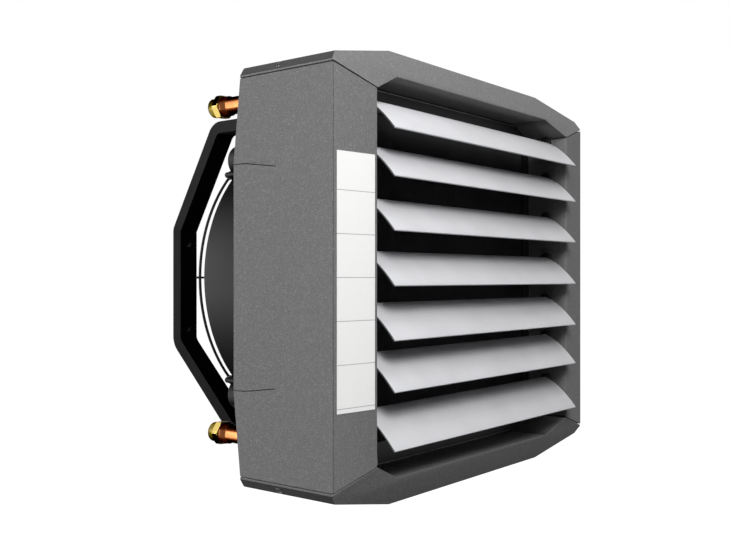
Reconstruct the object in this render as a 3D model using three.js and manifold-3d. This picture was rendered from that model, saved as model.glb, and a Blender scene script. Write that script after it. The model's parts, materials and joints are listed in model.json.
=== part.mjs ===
// A water-fed fan heater that hangs in a bent steel bracket, shown upright on its wall.
// Lengths are in millimetres and +Z is up. The origin lies on the bracket's wall face,
// level with the middle of the casing, and the warm air leaves towards -Y.

import * as THREE from 'three';
import { ConvexGeometry } from 'three/addons/geometries/ConvexGeometry.js';
import { mergeVertices } from 'three/addons/utils/BufferGeometryUtils.js';
import Module from 'manifold-3d';

const wasm = await Module();
wasm.setup();

// ---- Driving dimensions ----

const clearance = 0.3; // between pieces that touch or fit into one another
const wallToFront = 597; // wall face to the casing's front corners

// Foam casing
const casingWidth = 600;
const seamHeight = 461; // between the upper and the lower seam, at the casing's sides
const capLip = 2.9; // upright band of a cap next to the seam
const capChamferWidth = 10;
const capChamferHeight = 13.7;
const shoulderWidth = 110.5; // from the chamfer in to the flat top
const shoulderRise = 22.3;
const pillarWidth = 67;
const noseDepth = 8.6; // how far the pillars' inner edges stand forward
const seamDrop = 19.5; // from a seam's outer end in to the opening's corner
const openingBendWidth = 50; // from a pillar in to the bend in the opening's edge
const openingBendRise = 21.5;
const capDepth = 134;
const sideOverhang = 18; // of the side shells past the caps' rear
const sideCornerSetback = 11; // of a side shell's rear corners from its rear face
const sidePanelHeight = 262.4;
const sidePanelFront = 84;
const sidePanelSink = 2;
const foamWall = 14;
const ductWall = 10; // foam between the air opening and the hollow of a pillar
const ductDepth = 58;
const pillarFrontWall = 12;
const pocketWidth = 190; // pocket in which a bracket arm swings
const pocketFrontWall = 6; // foam between the air opening and a pocket

// Screws that hold the caps on the side shells
const shellScrewRadius = 1.7;
const shellScrewHeadRadius = 2.8;
const shellScrewHeadHeight = 3;
const shellScrewLength = 26;
const shellScrewDepth = 84.5;
const shellScrewInset = 5.5; // from the casing's side to the screw's axis
const shellScrewSeat = 2.5; // above the seam

// Bracket, a bent rectangular steel tube
const bracketWidth = 36;
const bracketThickness = 19;
const bracketWall = 2.5;
const armSink = 12.5; // from the casing's flat top down to an arm's outer face
const upperBendReach = 99; // from the wall to the upper arm's bend
const lowerBendReach = 140;
const wallFaceTop = 83;
const wallFaceBottom = -113;
const upperBendRadius = 30;
const bendRadius = 22;
const wallHoleRadius = 5;
const wallHoleInset = 26; // from the ends of the wall face

// Pivot hardware
const pivotBoltRadius = 5;
const pivotHeadFlats = 17;
const pivotHeadHeight = 6.5;
const pivotCollarRadius = 12;
const pivotCollarHeight = 2;
const bushHeight = 3.4;
const bushRadius = 16;
const nutPlateLength = 80;
const nutPlateThickness = 4;
const nutPlateFrontRoom = 8; // between the air opening's wall and a nut plate
const nutPlateRearRoom = 12; // between a nut plate and the back plate
const boltOverrun = 2; // past the nut plate
const armEndRoom = 8; // between an arm's round end and the front of its pocket

// Louvres
const louvreTopRoom = 44; // from the opening's upper corners down to the first tip
const louvreBottomRoom = 18.5; // from the lower corners up to the last tip
const louvreSteps = [53.5, 60.5, 61.5, 61, 57.5, 65.5]; // how the tips share the height between them
const louvreSheet = 2;
const louvreEndRoom = 6.3; // from the pillar to the blade's end
const louvrePivotDepth = 24;
const louvreReach = 51; // from the pivot forward to the tip
const louvreDrop = 38.5; // from the pivot down to the tip
const louvreTipSlope = 50;
const louvreRootSlope = 14;
const louvreDiscRadius = 8;
const louvrePinRadius = 4;

// Heat exchanger
const coilFrameThickness = 3;
const coilFrameBorder = 18;
const finBlockInset = 11; // from a pillar's inner face in to the fins
const finBlockRoom = 12; // from the hollow's ceiling down to the fins
const finBlockDepth = 48;
const finCount = 31;
const finThickness = 3;
const finGrooveDepth = 4;
const endPlateThickness = 2;
const tubeCount = 8;
const tubeEdge = 30; // from the fins' ends to the outermost tubes
const tubeRadius = 5;
const tubeOverrun = 1.5; // past the left end plate
const rowSpacing = 24;
const headerRadius = 11;
const headerWall = 1.3;
const headerInset = 50; // from the casing's side to the headers and the pipes
const headerOverrun = 10; // past the outermost tube
const returnPipeDrop = 17; // below the upper seam
const supplyPipeRise = 36; // above the lower seam

// Brass unions
const unionReach = 105.5; // from the caps' rear to the union's end
const unionLength = 30.5;
const unionRimWall = 1.3; // at its collar's thin end
const unionTaper = 2; // length of the collar's cone
const unionCollarRadius = 12.7;
const unionHexFlats = 27;
const unionHexLength = 9.5;
const unionNoseLength = 11;
const unionNoseRadius = 12.3;
const unionNoseRounding = 2.6;
const unionBoreRadius = 9;
const unionBoreDepth = 16.5; // from the nose's end to the pipe
const returnNutTurn = 2;
const supplyNutTurn = -4;

// Back plate, fan duct, guard and fan
const backPlateSink = 5; // from the caps' rear in to the plate's rear face
const backPlateThickness = 3;
const fanRoom = 10; // from the hollow's ceiling to the fan duct
const fanHoleLip = 9; // by which the fan hole is narrower than the duct
const shroudWall = 5.5;
const shroudLength = 176.7;
const shroudFlangeWidth = 6;
const shroudFlangeThickness = 5;
const shroudMouthLength = 24; // along which the bore widens from the fan hole
const earAngle = 46;
const earOverhang = 12; // from the duct's radius to an ear's middle
const earRadius = 21;
const earLength = 30;
const earSetback = 6;
const screwAngle = 41.5;
const screwOverhang = 7.5; // from the duct's radius to a screw's axis
const screwColumnRadius = 9;
const guardScrewRadius = 2.5;
const guardScrewHeadRadius = 4.4;
const guardScrewHeadHeight = 4;
const guardGap = 6; // from the duct's rim to the guard's outer ring
const guardRingWire = 2.5;
const guardSpokeWire = 1.8;
const guardRingSteps = [0, 52, 102]; // inward from the duct's radius
const guardSpokes = 8;
const guardSpokeOverrun = 4;
const eyeletRadius = 6;
const eyeletThickness = 3;
const motorPlateRadius = 52;
const motorPlateThickness = 4;
const motorRadius = 46;
const motorLength = 46;
const shaftRadius = 6;
const shaftLength = 34;
const hubGap = 3; // between the hub and the motor
const hubRadius = 58;
const hubLength = 58;
const hubWall = 6;
const bladeCount = 5;
const bladeTipRoom = 6; // between a blade's tip and the duct
const bladeThickness = 3.5;
const bladeRootChord = 92;
const bladeTipChord = 118;
const bladeRootPitch = 44;
const bladeTipPitch = 24;

// Terminal box and label
const boxFanRoom = 3; // between the fan duct's flange and the terminal box
const boxSideRoom = 22; // between the box and the casing's side
const boxHeight = 104;
const boxDepth = 40;
const boxWall = 3;
const lidThickness = 3.5;
const glandRadius = 11;
const glandLength = 22;
const glandBore = 4.5;
const labelInset = 5; // from the pillar's edges
const labelHeight = 282;
const labelThickness = 0.4;
const labelMiddle = -5;

// ---- Sizes that follow from them ----

const halfWidth = casingWidth / 2;
const seamZ = seamHeight / 2;
const capZ = seamZ + capChamferHeight;
const topZ = capZ + shoulderRise;
const flatTopX = halfWidth - capChamferWidth - shoulderWidth;
const openingX = halfWidth - pillarWidth;
const openingZ = seamZ - seamDrop;
const openingBendX = openingX - openingBendWidth;
const openingTopZ = openingZ + openingBendRise;
const seamSlope = (seamZ - openingZ) / pillarWidth;
const frontSlope = noseDepth / (seamZ - openingZ);
const frontAt = (z) => (Math.abs(z) - seamZ) * frontSlope;
const sideDepth = capDepth + sideOverhang;
const sideCornerDepth = sideDepth - sideCornerSetback;

const armHeight = topZ - armSink; // from the middle to an arm's outer face
const armInnerZ = armHeight - bracketThickness;
const pocketFloorZ = armInnerZ - bushHeight - 2 * clearance;
const pocketFront = ductDepth + pocketFrontWall;
const pivotDepth = pocketFront + armEndRoom + bracketWidth / 2;
const ceilingZ = pocketFloorZ - foamWall;
const hollowX = halfWidth - foamWall;

const bladeHalf = openingX - louvreEndRoom;
const louvreRun = 2 * openingZ - louvreTopRoom - louvreBottomRoom;
const louvreStepSum = louvreSteps.reduce((sum, step) => sum + step, 0);
const louvrePivotHeights = [0, ...louvreSteps].map((_, i) => {
  const below = louvreSteps.slice(0, i).reduce((sum, step) => sum + step, 0) * louvreRun / louvreStepSum;
  return openingZ - louvreTopRoom - below + louvreDrop;
});

const coilFront = ductDepth + clearance;
const coilMiddle = coilFront + finBlockDepth / 2;
const returnRow = coilMiddle - rowSpacing / 2;
const supplyRow = coilMiddle + rowSpacing / 2;
const finBlockX = openingX - finBlockInset;
const finBlockZ = ceilingZ - finBlockRoom;
const tubePitch = 2 * (finBlockZ - tubeEdge) / (tubeCount - 1);
const tubeHeights = Array.from({ length: tubeCount }, (_, i) => (i - (tubeCount - 1) / 2) * tubePitch);
const endPlateX = finBlockX + clearance;
const tubeEndX = endPlateX + endPlateThickness + tubeOverrun;
const headerOffset = halfWidth - headerInset; // from the middle to the headers and the pipes
const returnPipeHeight = seamZ - returnPipeDrop;
const supplyPipeHeight = supplyPipeRise - seamZ;

const unionEnd = capDepth + unionReach;
const unionFront = unionEnd - unionLength;
const unionHexEnd = unionEnd - unionNoseLength;
const unionHexStart = unionHexEnd - unionHexLength;
const pipeEnd = unionEnd - unionBoreDepth;

const backPlateRear = capDepth - backPlateSink;
const backPlateDepth = backPlateRear - backPlateThickness;
const shroudRadius = ceilingZ - fanRoom;
const shroudFlangeRadius = shroudRadius + shroudFlangeWidth;
const fanHoleRadius = shroudRadius - fanHoleLip;
const shroudFront = backPlateRear + clearance;
const shroudEnd = shroudFront + shroudLength;
const shroudBore = shroudRadius - shroudWall;
const guardRings = guardRingSteps.map((step) => shroudRadius - step);
const guardPlane = shroudEnd + guardGap + guardRingWire;
const motorRear = guardPlane - motorPlateThickness / 2 - clearance;
const motorFront = motorRear - motorLength;
const hubRear = motorFront - hubGap;
const hubFront = hubRear - hubLength;

const boxInnerX = shroudFlangeRadius + boxFanRoom;
const boxWidth = halfWidth - boxSideRoom - boxInnerX;
const labelWidth = pillarWidth - 2 * labelInset;

// ---- Materials ----

const finish = (color, roughness, metalness = 0) =>
  new THREE.MeshStandardMaterial({ color, roughness, metalness });

const foam = finish(0x737475, 0.85);
const darkPlastic = finish(0x1b1b1c, 0.55);
const ductPlastic = finish(0x48494a, 0.6);
const louvrePaint = finish(0xc9cacc, 0.35);
const blackPaint = finish(0x151515, 0.45);
const zinc = finish(0xa9acb0, 0.35, 1);
const aluminium = finish(0xb9bbbd, 0.4, 1);
const copper = finish(0xb8643a, 0.25, 1);
const brass = finish(0xc9a84a, 0.25, 1);
const paper = finish(0xf2f2f0, 0.6);

// ---- Shape helpers ----

function toSolid(geometry) {
  const bare = geometry.clone();
  bare.deleteAttribute('normal');
  bare.deleteAttribute('uv');
  const merged = mergeVertices(bare, 1e-4);
  const triVerts = Uint32Array.from(merged.index.array);
  if (signedVolume(merged) < 0) triVerts.reverse();
  const vertProperties = Float32Array.from(merged.attributes.position.array);
  return new wasm.Manifold(new wasm.Mesh({ numProp: 3, vertProperties, triVerts }));
}

function signedVolume(geometry) {
  const { position } = geometry.attributes;
  const corners = [0, 1, 2].map(() => new THREE.Vector3());
  let volume = 0;
  for (let i = 0; i < geometry.index.count; i += 3) {
    corners.forEach((corner, k) => corner.fromBufferAttribute(position, geometry.index.getX(i + k)));
    volume += corners[0].dot(corners[1].clone().cross(corners[2])) / 6;
  }
  return volume;
}

function toGeometry(solid) {
  const mesh = solid.getMesh();
  const geometry = new THREE.BufferGeometry();
  geometry.setAttribute('position', new THREE.BufferAttribute(new Float32Array(mesh.vertProperties), 3));
  geometry.setIndex(new THREE.BufferAttribute(new Uint32Array(mesh.triVerts), 1));
  return geometry;
}

const cut = (geometry, ...cutters) =>
  toGeometry(cutters.reduce((solid, cutter) => solid.subtract(toSolid(cutter)), toSolid(geometry)));
const join = (...pieces) =>
  toGeometry(pieces.slice(1).reduce((solid, piece) => solid.add(toSolid(piece)), toSolid(pieces[0])));
const common = (a, b) => toGeometry(toSolid(a).intersect(toSolid(b)));

function block(x0, x1, y0, y1, z0, z1) {
  const geometry = new THREE.BoxGeometry(Math.abs(x1 - x0), Math.abs(y1 - y0), Math.abs(z1 - z0));
  return geometry.translate((x0 + x1) / 2, (y0 + y1) / 2, (z0 + z1) / 2);
}

// A round bar along Y, Z or X from one end to the other, through the given place across it.
function barY(radius, y0, y1, x = 0, z = 0, sides = 24) {
  return new THREE.CylinderGeometry(radius, radius, y1 - y0, sides).translate(x, (y0 + y1) / 2, z);
}

function barZ(radius, z0, z1, x = 0, y = 0, sides = 24) {
  const geometry = new THREE.CylinderGeometry(radius, radius, z1 - z0, sides);
  return geometry.rotateX(Math.PI / 2).translate(x, y, (z0 + z1) / 2);
}

function barX(radius, x0, x1, y = 0, z = 0, sides = 24) {
  const geometry = new THREE.CylinderGeometry(radius, radius, Math.abs(x1 - x0), sides);
  return geometry.rotateZ(Math.PI / 2).translate((x0 + x1) / 2, y, z);
}

const outlineShape = (points) => new THREE.Shape(points.map(([a, b]) => new THREE.Vector2(a, b)));

// Prisms of an outline of [x, z] points along Y, [y, z] points along X, or [x, y] points along Z.
function prismY(points, y0, y1) {
  const geometry = new THREE.ExtrudeGeometry(outlineShape(points), { depth: y1 - y0, bevelEnabled: false });
  return geometry.rotateX(Math.PI / 2).translate(0, y1, 0);
}

function prismX(points, x0, x1) {
  const geometry = new THREE.ExtrudeGeometry(outlineShape(points), { depth: x1 - x0, bevelEnabled: false });
  const turn = new THREE.Matrix4().makeBasis(
    new THREE.Vector3(0, 1, 0), new THREE.Vector3(0, 0, 1), new THREE.Vector3(1, 0, 0));
  return geometry.applyMatrix4(turn).translate(x0, 0, 0);
}

function prismZ(points, z0, z1) {
  const geometry = new THREE.ExtrudeGeometry(outlineShape(points), { depth: z1 - z0, bevelEnabled: false });
  return geometry.translate(0, 0, z0);
}

// A turned piece around the Y axis, from a closed profile of [radius, y] points.
function turned(profile, x = 0, z = 0, segments = 24) {
  const points = [...profile, profile[0]].map(([radius, y]) => new THREE.Vector2(radius, y));
  return new THREE.LatheGeometry(points, segments).translate(x, 0, z);
}

// A closed skin through rings that hold equally many points each.
function loft(rings) {
  const count = rings[0].length;
  const positions = rings.flat().flatMap((point) => [point.x, point.y, point.z]);
  const index = [];
  for (let ring = 0; ring < rings.length - 1; ring += 1) {
    for (let i = 0; i < count; i += 1) {
      const a = ring * count + i;
      const b = ring * count + (i + 1) % count;
      index.push(a, b, a + count, b, b + count, a + count);
    }
  }
  const last = (rings.length - 1) * count;
  for (let i = 1; i < count - 1; i += 1) {
    index.push(0, i + 1, i, last, last + i, last + i + 1);
  }
  const geometry = new THREE.BufferGeometry();
  geometry.setAttribute('position', new THREE.Float32BufferAttribute(positions, 3));
  geometry.setIndex(index);
  return geometry;
}

const polar = (radius, degrees) => [
  radius * Math.cos(THREE.MathUtils.degToRad(degrees)),
  radius * Math.sin(THREE.MathUtils.degToRad(degrees)),
];
const fourWays = (angle) => [angle, 180 - angle, 180 + angle, 360 - angle];

const heater = new THREE.Group();
heater.position.y = -wallToFront;
const part = new THREE.Group();
part.add(heater);

function addPiece(name, geometry, material, group = heater) {
  const mesh = new THREE.Mesh(geometry, material);
  mesh.name = name;
  group.add(mesh);
  return mesh;
}

// ---- Bracket ----

// Rounds the inner corners of a path of [a, b] points with arcs of the given radii.
function roundedPath(points, radii, steps = 4) {
  const path = [points[0]];
  for (let i = 1; i < points.length - 1; i += 1) {
    const corner = new THREE.Vector2(...points[i]);
    const back = new THREE.Vector2(...points[i - 1]).sub(corner).normalize();
    const ahead = new THREE.Vector2(...points[i + 1]).sub(corner).normalize();
    const half = Math.acos(back.dot(ahead)) / 2;
    const middle = back.clone().add(ahead).normalize();
    const centre = corner.clone().addScaledVector(middle, radii[i - 1] / Math.sin(half));
    const start = corner.clone().addScaledVector(back, radii[i - 1] / Math.tan(half)).sub(centre);
    const sweep = Math.PI - 2 * half;
    const side = Math.sign(back.cross(ahead));
    for (let k = 0; k <= steps; k += 1) {
      const spoke = start.clone().rotateAround(new THREE.Vector2(), -side * sweep * k / steps);
      path.push([centre.x + spoke.x, centre.y + spoke.y]);
    }
  }
  return [...path, points[points.length - 1]];
}

// Moves a path sideways, to its right.
function offsetPath(path, distance) {
  return path.map((point, i) => {
    const before = path[Math.max(i - 1, 0)];
    const after = path[Math.min(i + 1, path.length - 1)];
    const along = [point[0] - before[0], point[1] - before[1]];
    const next = [after[0] - point[0], after[1] - point[1]];
    const normals = [along, next]
      .filter(([a, b]) => Math.hypot(a, b) > 0)
      .map(([a, b]) => new THREE.Vector2(b, -a).normalize());
    const normal = normals[0].clone().add(normals[normals.length - 1]).normalize();
    const reach = distance / normal.dot(normals[0]);
    return [point[0] + normal.x * reach, point[1] + normal.y * reach];
  });
}

function bracket() {
  const armEnd = pivotDepth - bracketWidth / 2;
  const outer = roundedPath([
    [armEnd, armHeight],
    [wallToFront - upperBendReach, armHeight],
    [wallToFront, wallFaceTop],
    [wallToFront, wallFaceBottom],
    [wallToFront - lowerBendReach, -armHeight],
    [armEnd, -armHeight],
  ], [upperBendRadius, bendRadius, bendRadius, upperBendRadius]);
  const strip = (from, to) => [...offsetPath(outer, from), ...offsetPath(outer, to).reverse()];
  const half = bracketWidth / 2;
  const bar = prismX(strip(0, bracketThickness), -half, half);
  const hollow = prismX(
    strip(bracketWall, bracketThickness - bracketWall), bracketWall - half, half - bracketWall);
  const roundEnd = new THREE.Shape();
  roundEnd.absarc(0, pivotDepth, half, Math.PI, 2 * Math.PI);
  const plan = [
    ...roundEnd.getPoints(8).map(({ x, y }) => [x, y]), [half, wallToFront], [-half, wallToFront],
  ];
  const trimmed = common(cut(bar, hollow), prismZ(plan, -armHeight - 1, armHeight + 1));
  const wallHoles = [wallFaceTop - wallHoleInset, wallFaceBottom + wallHoleInset]
    .map((z) => barY(wallHoleRadius, wallToFront - bracketThickness - 1, wallToFront + 1, 0, z, 16));
  const pivotHole = barZ(pivotBoltRadius + clearance, -armHeight - 1, armHeight + 1, 0, pivotDepth, 16);
  return cut(trimmed, pivotHole, ...wallHoles);
}

addPiece('bracket', bracket(), blackPaint);

// ---- Foam casing ----

// The casing's outer form: its front slopes back from the opening to every edge.
function casingBody(depth) {
  const corners = [
    [openingX, openingZ, -noseDepth],
    [halfWidth, seamZ, 0],
    [halfWidth, seamZ + capLip, frontAt(seamZ + capLip)],
    [halfWidth - capChamferWidth, capZ, frontAt(capZ)],
    [flatTopX, topZ, frontAt(topZ)],
    [halfWidth, seamZ, depth],
    [halfWidth, seamZ + capLip, depth],
    [halfWidth - capChamferWidth, capZ, depth],
    [flatTopX, topZ, depth],
  ];
  const points = corners.flatMap(([x, z, y]) => [-1, 1].flatMap(
    (side) => [-1, 1].map((end) => new THREE.Vector3(side * x, y, end * z))));
  return new ConvexGeometry(points);
}

// The air opening's eight-sided outline, drawn in by an inset.
function openingOutline(inset = 0) {
  const right = [
    [openingX - inset, openingZ - inset / 2],
    [openingBendX - inset / 3, openingTopZ - inset],
  ];
  const upper = [...right, ...right.map(([x, z]) => [-x, z]).reverse()];
  return [...upper, ...upper.map(([x, z]) => [x, -z]).reverse()];
}

// The hollow behind the opening, whose ceiling drops under the pockets of the bracket's arms.
function hollowOutline(inset = 0) {
  const right = [
    [hollowX - inset, seamZ - inset],
    [flatTopX - foamWall / 3 - inset, topZ - foamWall - inset],
    [pocketWidth / 2 + foamWall + inset, topZ - foamWall - inset],
    [pocketWidth / 2 + foamWall + inset, ceilingZ - inset],
  ];
  const upper = [...right, ...right.map(([x, z]) => [-x, z]).reverse()];
  return [...upper, ...upper.map(([x, z]) => [x, -z]).reverse()];
}

const seamAt = (x) => openingZ + (x - openingX) * seamSlope;
const beyond = halfWidth + 10;
const hollowSpace = () => prismY(hollowOutline(), ductDepth, sideDepth + 1);
const screwSeatZ = seamZ + shellScrewSeat;
const shellScrewX = halfWidth - shellScrewInset;

function sideShell(side) {
  const edge = seamAt(beyond) - clearance / 2;
  const inner = openingZ - clearance / 2;
  const region = prismY(
    [[side * openingX, inner], [side * beyond, edge], [side * beyond, -edge], [side * openingX, -inner]],
    -noseDepth - 1, sideDepth + 1);
  const pillarHollow = block(
    side * (openingX + ductWall), side * hollowX,
    pillarFrontWall, ductDepth + 1, foamWall - openingZ, openingZ - foamWall);
  const slants = [-1, 1].map((end) => prismX([
    [sideDepth, end * sidePanelHeight / 2],
    [sideCornerDepth, end * seamZ],
    [sideCornerDepth, end * (seamZ + 20)],
    [sideDepth + 5, end * (seamZ + 20)],
    [sideDepth + 5, end * sidePanelHeight / 2],
  ], -beyond, beyond));
  const panel = block(
    side * (halfWidth - sidePanelSink), side * beyond,
    sidePanelFront, sideDepth + 1, -sidePanelHeight / 2, sidePanelHeight / 2);
  const pinHoles = louvrePivotHeights.map((z) => barX(
    louvrePinRadius + clearance, side * (openingX - 1), side * (openingX + ductWall + 1),
    louvrePivotDepth, z, 12));
  const screwHoles = [-1, 1].map((end) => {
    const ends = [end * (screwSeatZ - shellScrewLength - 1), end * (seamZ + 5)].sort((a, b) => a - b);
    return barZ(shellScrewRadius + clearance, ...ends, side * shellScrewX, shellScrewDepth, 8);
  });
  return cut(
    common(casingBody(sideDepth), region),
    pillarHollow, hollowSpace(), ...slants, panel, ...pinHoles, ...screwHoles);
}

function capShell(end) {
  const edge = seamAt(beyond) + clearance / 2;
  const inner = openingZ + clearance / 2;
  const region = prismY([
    [-beyond, end * edge], [-openingX, end * inner], [openingX, end * inner],
    [beyond, end * edge], [beyond, end * (topZ + 1)], [-beyond, end * (topZ + 1)],
  ], -noseDepth - 1, capDepth + 1);
  const opening = prismY(openingOutline(), -noseDepth - 1, ductDepth + clearance);
  const pocket = block(
    -pocketWidth / 2, pocketWidth / 2, pocketFront, capDepth + 1,
    end * pocketFloorZ, end * (topZ + 1));
  const between = (a, b) => [end * a, end * b].sort((first, second) => first - second);
  const pivotHole = barZ(
    pivotBoltRadius + clearance, ...between(ceilingZ - 1, pocketFloorZ + 1), 0, pivotDepth, 16);
  const screwHoles = [-1, 1].flatMap((side) => [
    [shellScrewRadius, openingZ, screwSeatZ + 1, 8],
    [shellScrewHeadRadius, screwSeatZ, topZ + 1, 10],
  ].map(([radius, from, to, sides]) => barZ(
    radius + clearance, ...between(from, to), side * shellScrewX, shellScrewDepth, sides)));
  const discReliefs = [-1, 1].flatMap((side) => louvrePivotHeights.map((z) => barX(
    louvreDiscRadius + 1, side * (bladeHalf - 1), side * openingX, louvrePivotDepth, z, 20)));
  return cut(
    common(casingBody(capDepth), region),
    opening, hollowSpace(), pocket, pivotHole, ...screwHoles, ...discReliefs);
}

addPiece('side_shell_left', sideShell(-1), foam);
addPiece('side_shell_right', sideShell(1), foam);
addPiece('top_shell', capShell(1), foam);
addPiece('bottom_shell', capShell(-1), foam);

// A screw whose head lies in the cap and whose shank reaches into the side shell.
function shellScrew() {
  const head = turned([
    [0, clearance], [shellScrewHeadRadius, clearance], [shellScrewHeadRadius, shellScrewHeadHeight],
    [0, shellScrewHeadHeight],
  ], 0, 0, 10);
  return join(head, barY(shellScrewRadius, -shellScrewLength, clearance + 1, 0, 0, 8));
}

for (const [side, sideName] of [[-1, 'left'], [1, 'right']]) {
  for (const [end, endName] of [[1, 'top'], [-1, 'bottom']]) {
    const screw = addPiece(`shell_screw_${endName}_${sideName}`, shellScrew(), zinc);
    screw.position.set(side * shellScrewX, shellScrewDepth, end * screwSeatZ);
    screw.rotation.x = end * Math.PI / 2;
  }
}

// ---- Pivots between the bracket's arms and the casing ----

function pivotBolt() {
  const seat = armHeight + clearance;
  const collarTop = seat + pivotCollarHeight;
  const collar = barZ(pivotCollarRadius, seat, collarTop, 0, 0, 24);
  const headRadius = pivotHeadFlats / 2 / Math.cos(Math.PI / 6);
  const head = barZ(headRadius, collarTop - 1, collarTop + pivotHeadHeight, 0, 0, 6);
  const shank = barZ(pivotBoltRadius, ceilingZ - nutPlateThickness - boltOverrun, seat + 1, 0, 0, 16);
  return join(collar, head, shank);
}

function pivotBush() {
  const ends = [pocketFloorZ + clearance, pocketFloorZ + clearance + bushHeight];
  return cut(
    barZ(bushRadius, ...ends, 0, 0, 28),
    barZ(pivotBoltRadius + clearance, ends[0] - 1, ends[1] + 1, 0, 0, 16));
}

function nutPlate() {
  const top = ceilingZ - clearance;
  const plate = block(
    -nutPlateLength / 2, nutPlateLength / 2,
    ductDepth + nutPlateFrontRoom - pivotDepth, backPlateDepth - nutPlateRearRoom - pivotDepth,
    top - nutPlateThickness, top);
  return cut(plate, barZ(pivotBoltRadius + clearance, top - nutPlateThickness - 1, top + 1, 0, 0, 16));
}

for (const [turn, endName] of [[0, 'top'], [Math.PI, 'bottom']]) {
  const pivot = new THREE.Group();
  pivot.position.y = pivotDepth;
  pivot.rotation.y = turn;
  heater.add(pivot);
  addPiece(`pivot_bolt_${endName}`, pivotBolt(), zinc, pivot);
  addPiece(`pivot_bush_${endName}`, pivotBush(), darkPlastic, pivot);
  addPiece(`pivot_nut_plate_${endName}`, nutPlate(), zinc, pivot);
}

// ---- Louvres ----

// The blade's upper side, from its tip to its root, as [y, z] points from the pivot.
function louvreCurve(steps = 7) {
  const tip = new THREE.Vector2(-louvreReach, -louvreDrop);
  const root = new THREE.Vector2(0, 0);
  const steep = THREE.MathUtils.degToRad(louvreTipSlope);
  const shallow = THREE.MathUtils.degToRad(louvreRootSlope);
  const crossing = (root.y - tip.y - Math.tan(shallow) * (root.x - tip.x))
    / (Math.tan(steep) - Math.tan(shallow));
  const knee = new THREE.Vector2(tip.x + crossing, tip.y + crossing * Math.tan(steep));
  return new THREE.QuadraticBezierCurve(tip, knee, root).getPoints(steps).map(({ x, y }) => [x, y]);
}

function louvreBlade() {
  const upper = louvreCurve();
  return prismX([...upper, ...offsetPath(upper, louvreSheet).reverse()], -bladeHalf, bladeHalf);
}

function louvrePin() {
  const discStart = bladeHalf + clearance;
  const discEnd = openingX - clearance;
  const disc = barX(louvreDiscRadius, discStart, discEnd, 0, 0, 16);
  return join(disc, barX(louvrePinRadius, discEnd - 1, openingX + ductWall - 1, 0, 0, 12));
}

louvrePivotHeights.forEach((z, i) => {
  const louvre = new THREE.Group();
  louvre.position.set(0, louvrePivotDepth, z);
  heater.add(louvre);
  addPiece(`louvre_${i + 1}`, louvreBlade(), louvrePaint, louvre);
  addPiece(`louvre_${i + 1}_pin_right`, louvrePin(), darkPlastic, louvre);
  addPiece(`louvre_${i + 1}_pin_left`, louvrePin(), darkPlastic, louvre).rotation.y = Math.PI;
});

// ---- Heat exchanger ----

function coilFrame() {
  const rear = ductDepth;
  const outline = openingOutline(clearance);
  const windowX = openingX - coilFrameBorder;
  const windowZ = openingZ - coilFrameBorder / 2;
  return cut(
    prismY(outline, rear - coilFrameThickness, rear),
    block(-windowX, windowX, rear - coilFrameThickness - 1, rear + 1, -windowZ, windowZ));
}

// A comb on both faces stands for the fins, with a hole for every tube.
function finBlock() {
  const pitch = (2 * finBlockX - finThickness) / (finCount - 1);
  const front = [];
  for (let i = 0; i < finCount; i += 1) {
    const x = -finBlockX + i * pitch;
    front.push([x, 0], [x + finThickness, 0]);
    if (i < finCount - 1) front.push([x + finThickness, finGrooveDepth], [x + pitch, finGrooveDepth]);
  }
  const outline = [
    ...front.map(([x, depth]) => [x, coilFront + depth]),
    ...front.map(([x, depth]) => [x, coilFront + finBlockDepth - depth]).reverse(),
  ];
  const tubeHoles = [returnRow, supplyRow].flatMap((row) => tubeHeights.map(
    (z) => barX(tubeRadius + clearance, -finBlockX - 1, finBlockX + 1, row, z, 6)));
  return cut(prismZ(outline, -finBlockZ, finBlockZ), ...tubeHoles);
}

function endPlate(side) {
  return block(
    side * endPlateX, side * (endPlateX + endPlateThickness),
    coilFront, coilFront + finBlockDepth, -finBlockZ, finBlockZ);
}

// Eight hairpin tubes, expanded into the right end plate, run through the fins to the left one.
function hairpinTubes() {
  const straightEnd = endPlateX + endPlateThickness + 2;
  const hairpins = tubeHeights.map((z) => {
    const bend = Array.from({ length: 5 }, (_, k) => {
      const [along, across] = polar(rowSpacing / 2, -90 + k * 45);
      return new THREE.Vector3(straightEnd + along, coilMiddle + across, z);
    });
    const ends = [returnRow, supplyRow].map((row) => new THREE.Vector3(-tubeEndX, row, z));
    return bentTube([ends[0], ...bend, ends[1]], tubeRadius, 6);
  });
  return join(endPlate(1), ...hairpins);
}

// A solid tube through given points, whose rings lie square to the bends' bisectors, level in Z.
function bentTube(points, radius, sides) {
  const rings = points.map((point, i) => {
    const before = points[Math.max(i - 1, 0)];
    const after = points[Math.min(i + 1, points.length - 1)];
    const along = after.clone().sub(before).normalize();
    const across = new THREE.Vector3(0, 0, 1).cross(along).normalize();
    return Array.from({ length: sides }, (_, k) => {
      const [a, b] = polar(radius, 90 + k * 360 / sides);
      return point.clone().addScaledVector(across, a).add(new THREE.Vector3(0, 0, b));
    });
  });
  return loft(rings);
}

function leftEndPlate() {
  const holes = [returnRow, supplyRow].flatMap((row) => tubeHeights.map(
    (z) => barX(tubeRadius + clearance, -endPlateX - endPlateThickness - 1, -endPlateX + 1, row, z, 6)));
  return cut(endPlate(-1), ...holes);
}

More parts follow.
